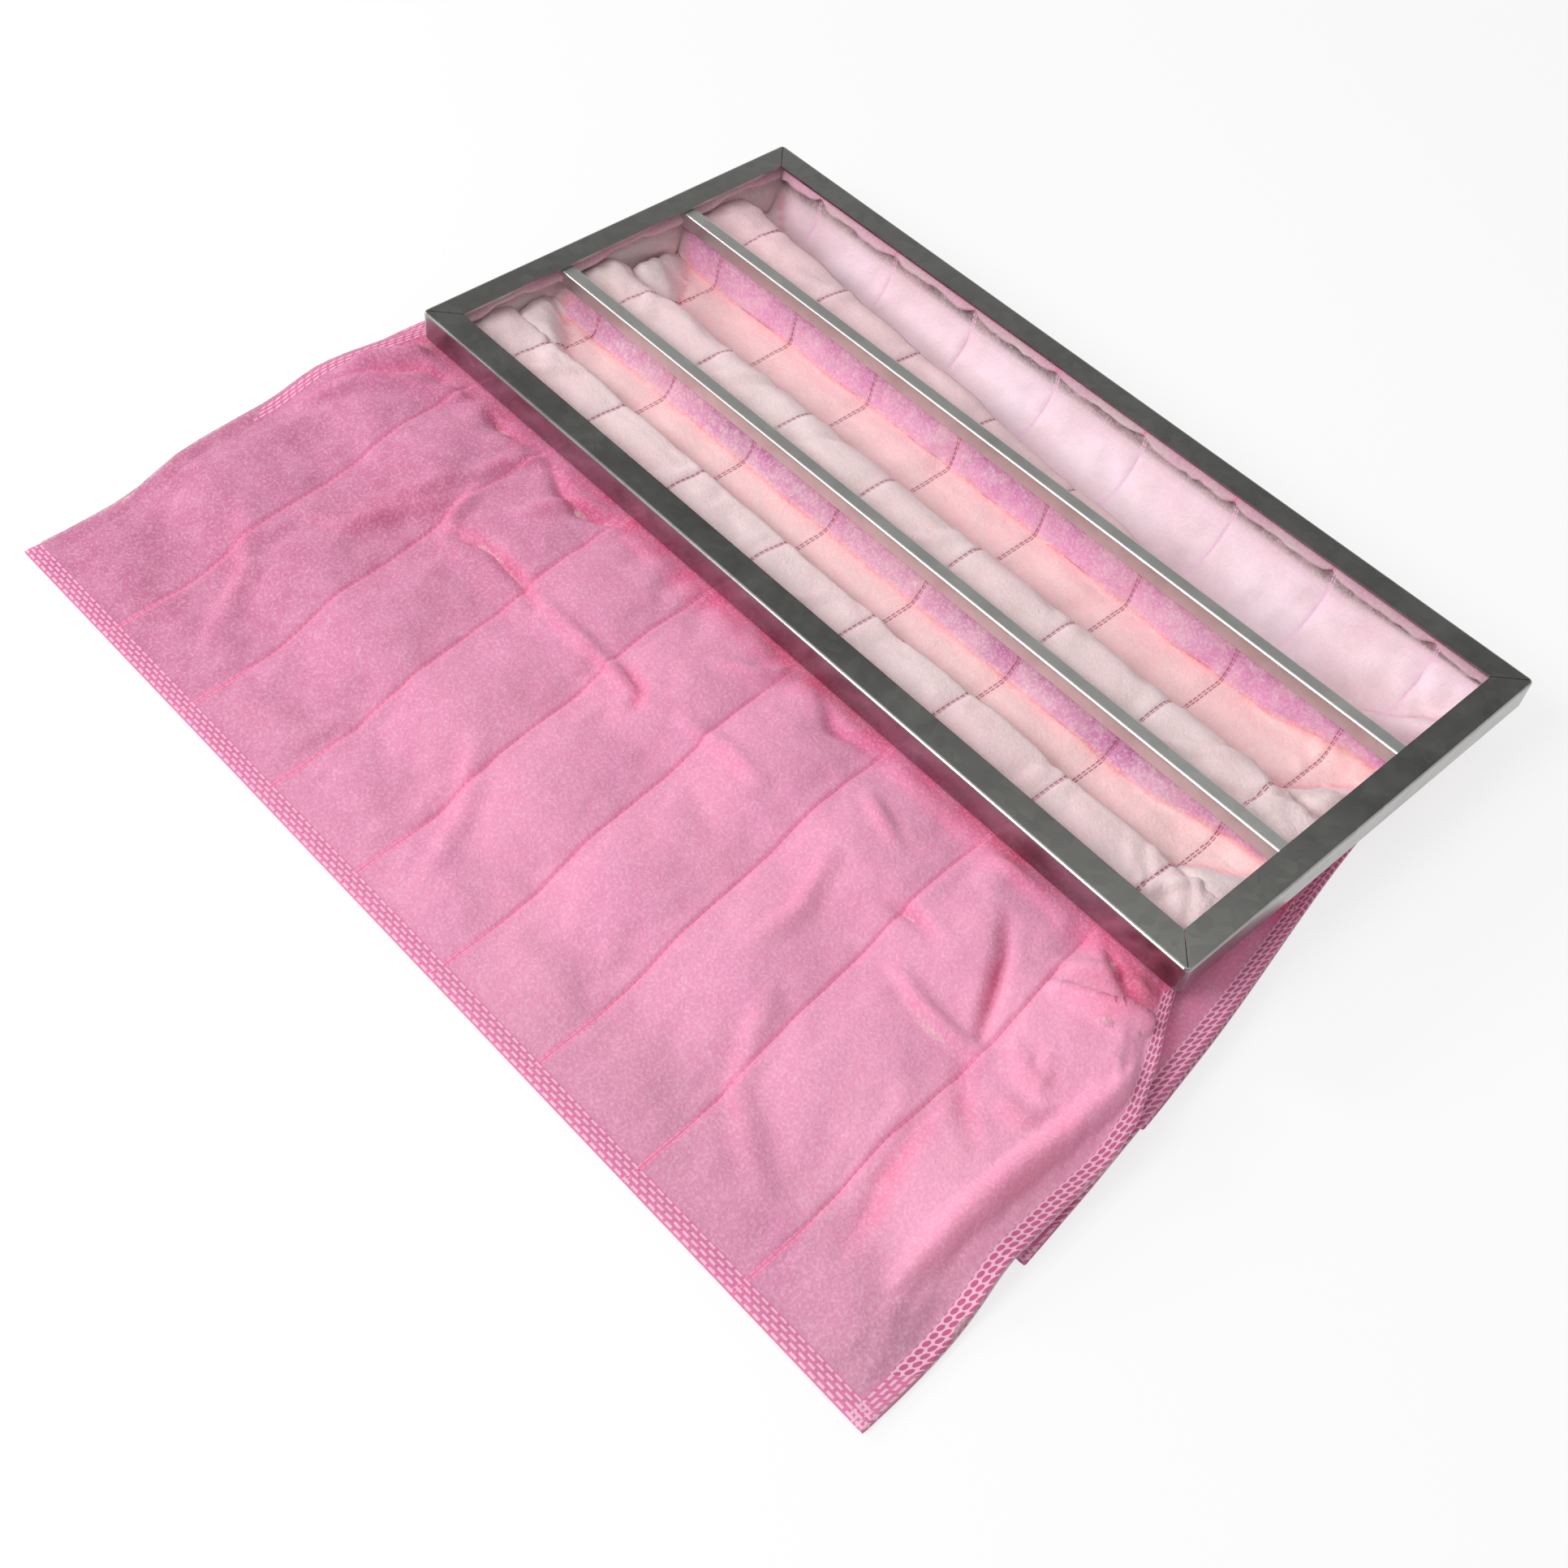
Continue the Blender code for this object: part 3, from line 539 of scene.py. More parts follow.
def relaxCloth(grid):
    # a short cloth run on a coarse copy, with a little slack between its stitches
    points = grid.points + gridNormals(grid.points) * lieOfCloth(grid)[..., None]
    free = freedom(grid)[0] * smooth(toStitch(grid.along[None, :])[1] * 3)
    rows, columns = free.shape
    mesh = meshFrom("clothRun", points.reshape(-1, 3), ringFaces(rows, columns))
    run = bpy.data.objects.new("clothRun", mesh)
    bpy.context.scene.collection.objects.link(run)
    held = run.vertex_groups.new(name="held")
    for number, weight in enumerate((1 - free).reshape(-1).tolist()):
        held.add([number], weight, "REPLACE")
    cloth = run.modifiers.new("cloth", "CLOTH")
    settings = cloth.settings
    settings.quality = 6
    settings.mass = 0.3
    settings.tension_stiffness = settings.compression_stiffness = 20
    settings.shear_stiffness = 8
    settings.bending_stiffness = 0.6
    settings.shrink_min = settings.shrink_max = -lie.simSlack
    settings.vertex_group_mass = "held"
    settings.effector_weights.gravity = 0
    cloth.collision_settings.use_collision = False
    cloth.point_cache.frame_start = 1
    cloth.point_cache.frame_end = lie.simFrames
    for number in range(1, lie.simFrames + 1):
        bpy.context.scene.frame_set(number)
    settled = run.evaluated_get(bpy.context.evaluated_depsgraph_get()).data
    moved = np.empty(len(settled.vertices) * 3)
    settled.vertices.foreach_get("co", moved)
    moved = moved.reshape(rows, columns, 3) - points
    bpy.data.objects.remove(run)
    bpy.data.meshes.remove(mesh)
    bpy.context.scene.frame_set(1)
    length = np.linalg.norm(moved, axis=2, keepdims=True)
    return moved * np.minimum(1, lie.simCap / np.maximum(length, 1e-9)) * free[..., None]


def carryOver(coarse, values, fine):
    # reads the coarse run's movement at the fine grid's places
    def ringPlace(grid):
        return np.where(grid.isFar, grid.along, 2 * size.halfWidth - grid.along)

    low, high, around = ringPlace(coarse), ringPlace(fine), 4 * size.halfWidth
    across = np.array([[np.interp(high, low, row[:, k], period=around) for k in range(3)] for row in values])
    flat = across.transpose(0, 2, 1).reshape(len(across), -1)
    place = np.interp(fine.station, coarse.station, np.arange(len(coarse.station)))
    below = np.minimum(place.astype(int), len(flat) - 2)
    return mix(flat[below], flat[below + 1], (place - below)[:, None]).reshape(len(place), -1, 3)


# Dye with painted light: the colour that each stretch of a wall shows, with painted shade, shadow and glow
# laid into it, by station, as (station, sRGB hex)
# painted shade: deep pink where the cloth goes in under the header; painted glow: a bright crease line and a
# peach wall where the far wall lies in the mouth
deepShade = [(14, "#ee8f9c"), (15.5, "#d4709a")]
lit = [(8.85, "#f09ba8"), (9.0, "#e88a94"), (9.12, "#f9b0b2"), (9.5, "#fccccc"), (12, "#f9d2d2")] + deepShade
slack = [(11.5, "#efa9ac")] + deepShade
pocketDyeAndShade = {
    "crease": "#d4306c", "endCreaseGlow": "#f08a98", "endPale": ("#f6dce8", "#e6d3d2"),
    "thread": {"outside": "#f4b2cc", "inside": "#a5506c", "lit": "#ffd2ee"},
    # painted light and shade on the outside: darker to the left and brighter to the right, and where the top
    # pocket's right side turns away into painted shade
    "tone": [(-0.30, (0.64, 0.45, 0.56)), (-0.18, (0.72, 0.55, 0.64)), (-0.05, (0.93, 0.86, 0.89)),
             (0.06, (1.06, 1.05, 1.02)), (0.30, (1.22, 1.34, 1.24))],
    # painted shade: how much darker the near tip and that side are
    "tipShade": 0.30, "side": 0.16, "sideShade": [(0.188, 0.314), (0.226, 0.312), (0.263, 0.310)],
    # painted shade: deep red in the folds by the header's edge: middle and half widths of each patch
    "deepShade": "#c4003f",
    "deepShadePatches": [(0.281, -0.151, 0.015, 0.0072), (0.060, -0.146, 0.050, 0.004),
                    (0.200, -0.146, 0.050, 0.004)],
    # the outside: the grey frayed edge and the pink wrap, then painted shade in deep pink where the cloth
    # comes out from under the header, then the cloth's own pink
    "outside": [(0, "#e6dcda"), (0.2, "#cdb9bb"), (0.9, "#c9b1b8"), (1, "#c8889f"), (1.2, "#d9709c"),
                (5, "#c878a8"), (14, "#e63c78"), (14.9, "#e55a8e"), (16.5, "#df90b0"), (60, "#dd95b4")],
    # the far wall: in the far pocket a painted shadow under the frayed edge, then a wall painted bright as if
    # lit through; in the others painted shade in a purple band below the bar, then the painted glow where it
    # lies
    "farInside": {
        "far": [(0, "#b9a5a0"), (4.2, "#5e5152"), (5.3, "#66585a"), (5.6, "#93848a"), (5.95, "#e6d0da"),
                (6.5, "#fbe0ef"), (9, "#fce8f3"), (12, "#fbe2ec"), (14, "#eab0bf"), (15.5, "#d4709a")],
        "middle": [(0, "#b9a5a0"), (5, "#8f3874"), (6, "#c070a6"), (7.2, "#d886ba"), (8.5, "#df94c0")] + lit,
        "near": [(0, "#b9a5a0"), (5, "#852f6a"), (6, "#ae6092"), (7.2, "#c47aa6"), (8.5, "#d28bb2")] + lit,
    },
    # the slack's ridge: painted shade next to the bar
    "nearInside": {
        "far": [(0, "#b9a5a0"), (5, "#c79aa4"), (6.5, "#efc9cd"), (9, "#f5d2d5"), (10, "#eacbca")] + slack,
        "middle": [(0, "#b9a5a0"), (5, "#b79aa0"), (6.5, "#e9d0d0"), (9, "#f2dcdb"), (10, "#e9d2d0")] + slack,
        "near": [(0, "#b9a5a0"), (5, "#b79aa0"), (6.5, "#e8cfd0"), (9, "#f2dada"), (10, "#e8d0cf")] + slack,
    },
    "endInside": [(0, "#a89792"), (5, "#b5a5a3"), (6, "#dccbcb"), (9, "#e6d2d2"), (11, "#ecbcc0")] + deepShade,
}


def dyeAndShadeAt(stops, station):
    places = [place for place, code in stops]
    colours = np.array([hexToLinear(code) for place, code in stops])
    return np.stack([np.interp(station, places, colours[:, k]) for k in range(3)], axis=-1)


def paintOutside(grid):
    x, y, station = grid.points[..., 0], grid.points[..., 1], grid.station[:, None]
    lying = station > 14
    # painted light and shade: the outside is darker to the left and brighter to the right
    places, tones = zip(*pocketDyeAndShade["tone"])
    tone = np.stack([np.interp(x, places, [t[k] for t in tones]) for k in range(3)], axis=2)
    # painted shade on the near tip and on the side that turns away
    tipShade = smooth((-y - 0.26) / 0.12) * smooth(x / 0.2)
    line, across = zip(*pocketDyeAndShade["sideShade"])
    shade = smooth((x - np.interp(-y, line, across)) / 0.004) * (grid.index == 2)
    shade = shade * smooth((-y - 0.190) / 0.02) * (1 - smooth((-y - 0.35) / 0.05))
    tone = tone * (1 - pocketDyeAndShade["tipShade"] * tipShade - pocketDyeAndShade["side"] * shade)[..., None]
    colour = dyeAndShadeAt(pocketDyeAndShade["outside"], station) * np.where(station[..., None] > 13, tone, 1)
    # painted light: the strips of the two lower pockets that show are painted brighter, with a painted
    # deep-pink glow
    glowStrip = lying * (grid.index < 2)
    colour = np.minimum(np.minimum(colour, 0.95) * (1 + 0.35 * glowStrip)[..., None], 0.95)
    # painted shade: deeper pink in the creases of the folds and crumples, and a painted glow on the strips
    creased = np.clip(0.85 * grid.crease + 0.6 * glowStrip, 0, 1)[..., None]
    colour = mix(colour, hexToLinear(pocketDyeAndShade["crease"]), creased)
    # painted shade: deep red patches in the folds by the header's edge
    patch = 0
    for px, py, rx, ry in pocketDyeAndShade["deepShadePatches"]:
        patch = patch + np.exp(-((x - px) / rx) ** 2 - ((y - py) / ry) ** 2)
    return mix(colour, hexToLinear(pocketDyeAndShade["deepShade"]), np.clip(0.85 * patch * lying, 0, 1)[..., None])


def paintInside(grid):
    station, name = grid.station[:, None], grid.pocket.name
    # the painted shade and glow bands on the far wall are drawn up towards its right end
    drawnUp = 2.4 * smooth((grid.points[..., 0] - 0.185) / 0.085) * smooth((station - 5) / 1.5)
    far = dyeAndShadeAt(pocketDyeAndShade["farInside"][name], station + drawnUp)
    colour = np.where(grid.isFar[None, :, None], far, dyeAndShadeAt(pocketDyeAndShade["nearInside"][name], station))
    ends = dyeAndShadeAt(pocketDyeAndShade["endInside"], station + 12 * smooth((station - 7.5) / 1.5))
    colour = mix(colour, ends, smooth((np.abs(grid.along) - wireX + 0.006) / 0.01)[None, :, None])
    past = endOfMouth(grid)[..., None]
    onFar = (smooth((station - 5.4) / 1.4) * (grid.isFar & (np.abs(grid.along) < wireX)))[..., None]
    colour = mix(colour, hexToLinear(pocketDyeAndShade["endPale"][min(grid.index, 1)]), smooth(past / 0.005) * onFar)
    # painted glow: a pink line along the slanting crease
    crease = 0.8 * np.exp(-(past / 0.0022) ** 2) * onFar
    colour = mix(colour, hexToLinear(pocketDyeAndShade["endCreaseGlow"]), crease)
    return mix(colour, paintOutside(grid), smooth(station - 14.5)[..., None])


def threadColour(grid, inside):
    # dark thread on the pale slack, pale on the lit far wall and on the outside
    shown = hexToLinear(pocketDyeAndShade["thread"]["inside" if inside else "outside"])
    colour = np.zeros(grid.run.shape + (3,)) + shown
    if inside and grid.index == 0:
        colour[:, grid.isFar] = hexToLinear(pocketDyeAndShade["thread"]["lit"])
    return colour


def wallThickness(grid):
    station = grid.station[:, None]
    toSide = size.halfWidth - np.abs(grid.along)[None, :]
    body = mix(size.pinched, size.media, smooth((station - 3) / 3.2))
    welded = (1 - smooth((toSide - size.seamBand) / 0.008)) * smooth((station - 12) / 2)
    atEnd = 1 - smooth((grid.toEnd - size.seamBand) / 0.008)
    return mix(body, 2 * size.weldGap * 0.9, np.maximum(welded, atEnd))


def frayMouth(grid, points):
    # the free edge hangs in scallops: short at each stitch line, longer and standing off between
    along = np.abs(grid.along)
    share = toStitch(grid.along[None, :])[1]
    loose = 1 - smooth(grid.station[:, None])
    notch = np.exp(-(share / 0.10) ** 2)
    uneven = sum(softNoise(grid.along, 0 * grid.run, lump, seed) for lump, seed in ((0.005, 71), (0.017, 72)))
    hang = loose * (0.0022 + 0.0024 * notch - 0.0007 * uneven)
    stand = loose * (0.0008 + 0.0022 * smooth(3 * share) + 0.0006 * uneven)
    # a divider covers the edge where two pockets meet, so there it stays straight
    covered = np.where(grid.isFar, grid.index > 0, grid.index < 2) & (along <= wireX)
    hang, stand = np.where(covered, 0, hang), np.where(covered, 0, stand)
    middle = (grid.pocket.nearY + grid.pocket.farY) / 2
    inX = -np.sign(points[..., 0]) * (along > wireX) * stand
    inY = np.sign(middle - points[..., 1]) * (along <= wireX) * stand
    return points + np.stack([inX, inY, hang], axis=2)


def closingStrip(along, isFar, base, facing):
    # faces between the far and the near wall along one row of the ring
    farSide = [(along[i], base + i) for i in range(len(along)) if isFar[i]]
    nearSide = [(along[i], base + i) for i in range(len(along) - 1, 0, -1) if not isFar[i]]
    nearSide = [farSide[0]] + nearSide + [farSide[-1]]
    faces, i, j = [], 0, 0
    while i < len(farSide) - 1 or j < len(nearSide) - 1:
        far, near = farSide[i][1], nearSide[j][1]
        goFar = j == len(nearSide) - 1 or (i < len(farSide) - 1 and farSide[i + 1][0] <= nearSide[j + 1][0])
        if goFar:
            i += 1
            face = (far, farSide[i][1], near)
        else:
            j += 1
            face = (far, nearSide[j][1], near)
        if len(set(face)) == 3:
            faces.append(face if facing else face[::-1])
    return faces


def buildPocket(index):
    detail = pocketDetail[index]
    grid = pocketGrid(index, *detail["fine"])
    points = grid.points + gridNormals(grid.points) * (lieOfCloth(grid) + stitchGroove(grid))[..., None]
    coarse = pocketGrid(index, *detail["run"])
    points = points + carryOver(coarse, relaxCloth(coarse), grid)
    station, columns = grid.station[:, None], len(grid.along)
    lying = grid.isFar[None, :] & (station > 9)
    points[..., 2] = np.where(lying, np.maximum(points[..., 2], grid.points[..., 2]), points[..., 2])
    points = frayMouth(grid, keepRoom(grid, liftEnds(grid, points)))
    normals = gridNormals(points)
    half = wallThickness(grid)[..., None] / 2
    # the coarser inner skin lies deeper at the end walls and under the folds, which mostly keeps it hidden
    atEnds = smooth((np.abs(grid.along) - wireX + 0.002) / 0.008) * smooth((station - 5.6) / 1.4)
    underFolds = smooth((grid.toEnd - 0.03) / 0.03) * smooth(station - 15)
    deeper = (1 + 1.2 * atEnds + 0.9 * underFolds * (1 - atEnds))[..., None]
    inBag = np.flatnonzero(grid.station <= grid.lastStation - 2)
    keep = np.array([row for row in inBag if grid.station[row] < 15 or row % 4 == 0 or row == inBag[-1]])
    outer, inner = points + normals * half, (points - normals * half * deeper)[keep]
    # outer skin, rim at the mouth, closed end, then the inner skin and its closed end
    innerStart, ring = len(points) * columns, np.arange(columns)
    after = np.roll(ring, -1)
    faces = ringFaces(len(points), columns).tolist()
    faces += np.stack([ring + innerStart, after + innerStart, after, ring], axis=1).tolist()
    faces += closingStrip(grid.along, grid.isFar, innerStart - columns, True)
    outerCount = len(faces)
    faces += (ringFaces(len(keep), columns)[:, ::-1] + innerStart).tolist()
    faces += closingStrip(grid.along, grid.isFar, innerStart + (len(keep) - 1) * columns, False)
    corners = np.vstack([outer.reshape(-1, 3), inner.reshape(-1, 3)]) + (middleX, middleY, 0)
    name = grid.pocket.name
    mesh = meshFrom(name + "Pocket", corners, faces)
    piece = bpy.data.objects.new(name + "Pocket", mesh)
    bpy.context.scene.collection.objects.link(piece)
    writeCloth(mesh, grid, keep, outerCount)
    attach(piece, "root")
    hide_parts("pocket_" + name)
    return piece


def writeCloth(mesh, grid, keep, outerFaceCount):
    # cloth coordinates in metres: across, along the run; and how far each point is from its end weld
    def stack(outer, inner):
        return np.concatenate([skin.reshape(-1, *skin.shape[2:]) for skin in (outer, inner[keep])])

    along = np.broadcast_to(grid.along, grid.run.shape)
    across, run, toEnd = stack(along, along), stack(grid.run, grid.run), stack(grid.toEnd, grid.toEnd)
    # the dye, with the painted shade, shadow and glow in it
    dyeAndShade = stack(paintOutside(grid), paintInside(grid))
    thread = stack(threadColour(grid, False), threadColour(grid, True))
    corner = np.empty(len(mesh.loops), dtype=np.int32)
    mesh.loops.foreach_get("vertex_index", corner)
    layer = mesh.uv_layers.new(name="cloth")
    layer.data.foreach_set("uv", np.stack([across[corner], run[corner]], axis=1).astype(np.float32).ravel())
    ends = mesh.attributes.new("toEnd", "FLOAT", "POINT")
    ends.data.foreach_set("value", toEnd.astype(np.float32))
    for name, colour in (("dyeAndShade", dyeAndShade), ("thread", thread)):
        paint = mesh.color_attributes.new(name=name, type="FLOAT_COLOR", domain="POINT")
        opaque = np.hstack([colour, np.ones((len(colour), 1))])
        paint.data.foreach_set("color", opaque.astype(np.float32).ravel())
    inside = np.zeros(len(mesh.polygons), dtype=np.int32)
    inside[outerFaceCount:] = 1
    mesh.polygons.foreach_set("material_index", inside)
    mesh.polygons.foreach_set("use_smooth", np.ones(len(mesh.polygons), dtype=bool))
    mesh.update()


# how finely each pocket is made: places on the far and the near wall, past where the near wall gets twice
# as many, then row spacing in the mouth, lying, and just past the header; and the piece that it is cut from
closeSteps = (0, 0.0009, 0.0020, 0.0034, 0.0056, 0.0080, 0.0106, 0.0134, 0.0163, 0.0192, 0.0222, 0.0252,
              0.0282, 0.0314, stitchSpacing / 2)
middleSteps = (0, 0.0009, 0.0022, 0.0045, 0.0080, 0.0120, 0.0165, 0.0210, 0.0255, 0.0302, stitchSpacing / 2)
wideSteps = (0, 0.0009, 0.0024, 0.0060, 0.0120, 0.0200, 0.0280, stitchSpacing / 2)
runSteps = (0, 0.0050, 0.0105, 0.0165, 0.0225, 0.0287, stitchSpacing / 2)
lowerDetail = {"fine": (middleSteps, middleSteps, 1, 0.0030, 0.0070, 0.0070),
               "run": (runSteps, runSteps, 1, 0.0065, 0.0090, 0.0090)}
pocketDetail = [
    {**lowerDetail, "cut": (0.649, 0.764)}, {**lowerDetail, "cut": (0.649, 0.747)},
    {"fine": (wideSteps, closeSteps, 0.225, 0.0030, 0.0040, 0.0024),
     "run": (runSteps, runSteps, 1, 0.0065, 0.0065, 0.0065), "cut": (0.649, 0.772)},
]
pocketPieces = []
for pocketIndex in range(3):
    pocketPieces.append(buildPocket(pocketIndex))
    print("pocket", pockets[pocketIndex].name, len(pocketPieces[-1].data.polygons), "faces")


# Materials

# Double stitch rows, the painted shade of the valley they lie in and the weld patterns, in metres on the
# cloth. The thread and the bars are a little thicker than the real ones, so that they show.
seams = {
    "rowToLine": 0.00085, "threadHalf": 0.00036, "stitch": 0.0037, "stitchShare": 0.70, "valleyShade": 0.0024,
    "barRow": 0.0025, "barHalf": 0.24, "bar": 0.0056, "barShare": 0.7,
    "cellRow": 0.0031, "cell": 0.0048, "rim": 0.165, "relief": -0.6,
}
# each line is a result, what it starts from, and its operations; "it" is the number so far
patternSteps = [
    ("fromLine", "across", ("ADD", size.halfWidth - size.seamBand), ("DIVIDE", stitchSpacing),
     ("PINGPONG", 0.5), ("MULTIPLY", stitchSpacing)),
    ("dash", "run", ("DIVIDE", seams["stitch"]), ("FRACT",), ("LESS_THAN", seams["stitchShare"])),
    ("toSide", "across", ("ABSOLUTE",), ("SUBTRACT", size.halfWidth, "it")),
    ("inBody", "toSide", ("GREATER_THAN", size.seamBand + 0.004)),
    ("row", "fromLine", ("SUBTRACT", seams["rowToLine"]), ("ABSOLUTE",), ("LESS_THAN", seams["threadHalf"])),
    ("stitch", "row", ("MULTIPLY", "dash"), ("MULTIPLY", "inBody")),
    # painted shade: a soft band along each stitch line
    ("valleyShade", "fromLine", ("DIVIDE", seams["valleyShade"]), ("SMOOTH_MIN", 1.0, "it", 0.2),
     ("SUBTRACT", 1.0, "it"), ("MULTIPLY", "inBody")),
    # the side bands show past the header's back, and on the left only close to it
    ("onRight", "across", ("GREATER_THAN", 0.0)),
    ("honey", "run", ("LESS_THAN", 0.30), ("MULTIPLY", "onRight")),
    ("lying", "run", ("GREATER_THAN", 0.07)),
    ("shown", "run", ("LESS_THAN", 0.19), ("MAXIMUM", "onRight"), ("MULTIPLY", "lying", "it")),
]
for edge, depth, length in (("side", "toSide", "run"), ("end", "toEnd", "across")):
    patternSteps += [
        (edge + "Band", depth, ("LESS_THAN", size.seamBand)),
        ("rows", depth, ("DIVIDE", seams["barRow"])),
        ("row", "rows", ("FRACT",), ("SUBTRACT", 0.5), ("ABSOLUTE",), ("LESS_THAN", seams["barHalf"])),
        ("shift", "rows", ("FLOOR",), ("MULTIPLY", 0.5)),
        ("bar", length, ("DIVIDE", seams["bar"]), ("ADD", "shift"), ("FRACT",),
         ("LESS_THAN", seams["barShare"])),
        (edge + "Bars", "row", ("MULTIPLY", "bar"), ("MULTIPLY", edge + "Band")),
    ]
patternSteps += [
    ("sideLying", "sideBand", ("MULTIPLY", "shown")),
    ("band", "sideLying", ("MAXIMUM", "endBand")),
    ("bars", "sideBars", ("MULTIPLY", "shown"), ("MAXIMUM", "endBars")),
    # the honeycomb part: oval cells in staggered rows
    ("rows", "toSide", ("DIVIDE", seams["cellRow"])),
    ("up", "rows", ("FRACT",), ("SUBTRACT", 0.5)), ("up", "up", ("MULTIPLY", "up")),
    ("shift", "rows", ("FLOOR",), ("MULTIPLY", 0.5)),
    ("cell", "run", ("DIVIDE", seams["cell"]), ("ADD", "shift"), ("FRACT",), ("SUBTRACT", 0.5)),
    ("comb", "cell", ("MULTIPLY", "cell"), ("ADD", "up", "it"), ("GREATER_THAN", seams["rim"]),
     ("MULTIPLY", "sideLying")),
    ("cells", "comb", ("SUBTRACT", "sideLying", "it"), ("MULTIPLY", "honey")),
    ("comb", "comb", ("MULTIPLY", "honey")),
    ("weld", "honey", ("SUBTRACT", 1.0, "it"), ("MULTIPLY", "bars", "it"), ("ADD", "comb")),
    ("pressed", "stitch", ("ADD", "weld"), ("MULTIPLY", seams["relief"])),
]


def nonwoven(name, look):
    # Needle-felted synthetic fibre, stitched in double rows: matt and fibrous, with a soft edge glow
    material, shader = newMaterial(name)
    matt = {"Roughness": 0.92, "Sheen Weight": 0.25, "Sheen Roughness": 0.6, "Specular IOR Level": 0.2}
    for key, amount in matt.items():
        shader.inputs[key].default_value = amount
    shader.inputs["Sheen Tint"].default_value = (*hexToLinear("#ffd9e8"), 1)
    cloth = addNode(material, "UVMap", {"uv_map": "cloth"})
    place = addNode(material, "SeparateXYZ", inputs={0: cloth.outputs[0]}).outputs
    dyeAndShade, thread, toEnd = (addNode(material, "Attribute", {"attribute_name": attribute}).outputs
                          for attribute in ("dyeAndShade", "thread", "toEnd"))
    where = addNode(material, "TexCoord").outputs["Object"]
    value = {"across": place[0], "run": place[1], "toEnd": toEnd["Fac"]}
    for result, start, *operations in patternSteps:
        value["it"] = value[start]
        for operation, *parts in operations:
            parts = parts if "it" in parts else ["it"] + parts
            inputs = {slot: value.get(part, part) for slot, part in enumerate(parts)}
            value["it"] = addNode(material, "Math", {"operation": operation}, inputs).outputs[0]
        value[result] = value["it"]
    # the base colour starts from the dye with its painted shade, shadow and glow
    colour, height = dyeAndShade["Color"], value["pressed"]
    for scale, low, high, share, code, raised in look["mottling"]:
        inputs = {"Vector": where, "Scale": scale, "Detail": 4.0, "Roughness": 0.6}
        noise = addNode(material, "TexNoise", inputs=inputs).outputs[0]
        inputs = {"Value": noise, "From Min": low, "From Max": high, "To Max": share}
        amount = addNode(material, "MapRange", inputs=inputs).outputs[0]
        tint = {0: amount, 6: colour, 7: (*hexToLinear(code), 1)}
        colour = addNode(material, "Mix", {"data_type": "RGBA"}, tint).outputs[2]
        inputs = {0: noise, 1: raised, 2: height}
        height = addNode(material, "Math", {"operation": "MULTIPLY_ADD"}, inputs).outputs[0]
    for mask, share, code in look["lines"]:
        inputs = {0: value[mask], 1: share}
        amount = addNode(material, "Math", {"operation": "MULTIPLY"}, inputs).outputs[0]
        tint = {0: amount, 6: colour, 7: (*hexToLinear(code), 1) if code else thread["Color"]}
        colour = addNode(material, "Mix", {"data_type": "RGBA"}, tint).outputs[2]
    material.node_tree.links.new(colour, shader.inputs["Base Color"])
    bump = addNode(material, "Bump", inputs={"Strength": 0.7, "Distance": 0.0008, "Height": height})
    material.node_tree.links.new(bump.outputs[0], shader.inputs["Normal"])
    return material


# mottling: noise scale (1/m), its low and high ends, share, colour and relief: clouds 60 mm across, drifts
# 15 mm, wisps 5 mm and specks of fibre 1.5 mm; lines: what is coloured, share, colour (none = the thread's)
feltLooks = {
    "outside": {
        "mottling": [(15.0, 0.38, 0.66, 0.50, "#cf7fa6", 0.0), (62.0, 0.40, 0.68, 0.26, "#e6a2c0", 1.6),
                     (190.0, 0.48, 0.66, 0.14, "#cc7a9e", 0.6), (620.0, 0.46, 0.66, 0.25, "#f6d3e1", 0.9)],
        # the stitch valley is painted shade
        "lines": [("valleyShade", 0.70, "#ea6796"), ("band", 0.55, "#d85f95"), ("cells", 0.62, "#b54c76"),
                  ("stitch", 0.45, None), ("weld", 0.70, "#f6cadd")],
    },
    "inside": {
        "mottling": [(17.0, 0.38, 0.66, 0.35, "#f2bcc4", 0.0), (62.0, 0.42, 0.68, 0.30, "#dccac7", 1.6),
                     (190.0, 0.48, 0.66, 0.20, "#f1dfdc", 0.6), (620.0, 0.46, 0.66, 0.28, "#f8f2f0", 0.9)],
        # the stitch valley takes the thread's colour: painted light on the lit far wall, painted shade
        # elsewhere
        "lines": [("valleyShade", 0.20, None), ("stitch", 0.85, None)],
    },
}
outsideFelt = nonwoven("pinkNeedledFelt", feltLooks["outside"])
insideFelt = nonwoven("pinkNeedledFeltInside", feltLooks["inside"])
for piece in pocketPieces:
    piece.data.materials.append(outsideFelt)
    piece.data.materials.append(insideFelt)


metalFinishes = {
    "header_frame": {"base": "#a9a9a5", "spangle": "#9c9b98", "roughness": 0.22, "spangleSize": 0.006},
    "divider_far": {"base": "#dadad7", "spangle": "#d2d2cf", "roughness": 0.33, "spangleSize": 0.006},
    "mouth_wire_far": {"base": "#a5a5a2", "spangle": "#9c9c99", "roughness": 0.32, "spangleSize": 0.002},
}
metalFinishes["divider_near"] = metalFinishes["divider_far"]
metalFinishes["mouth_wire_middle"] = metalFinishes["mouth_wire_near"] = metalFinishes["mouth_wire_far"]


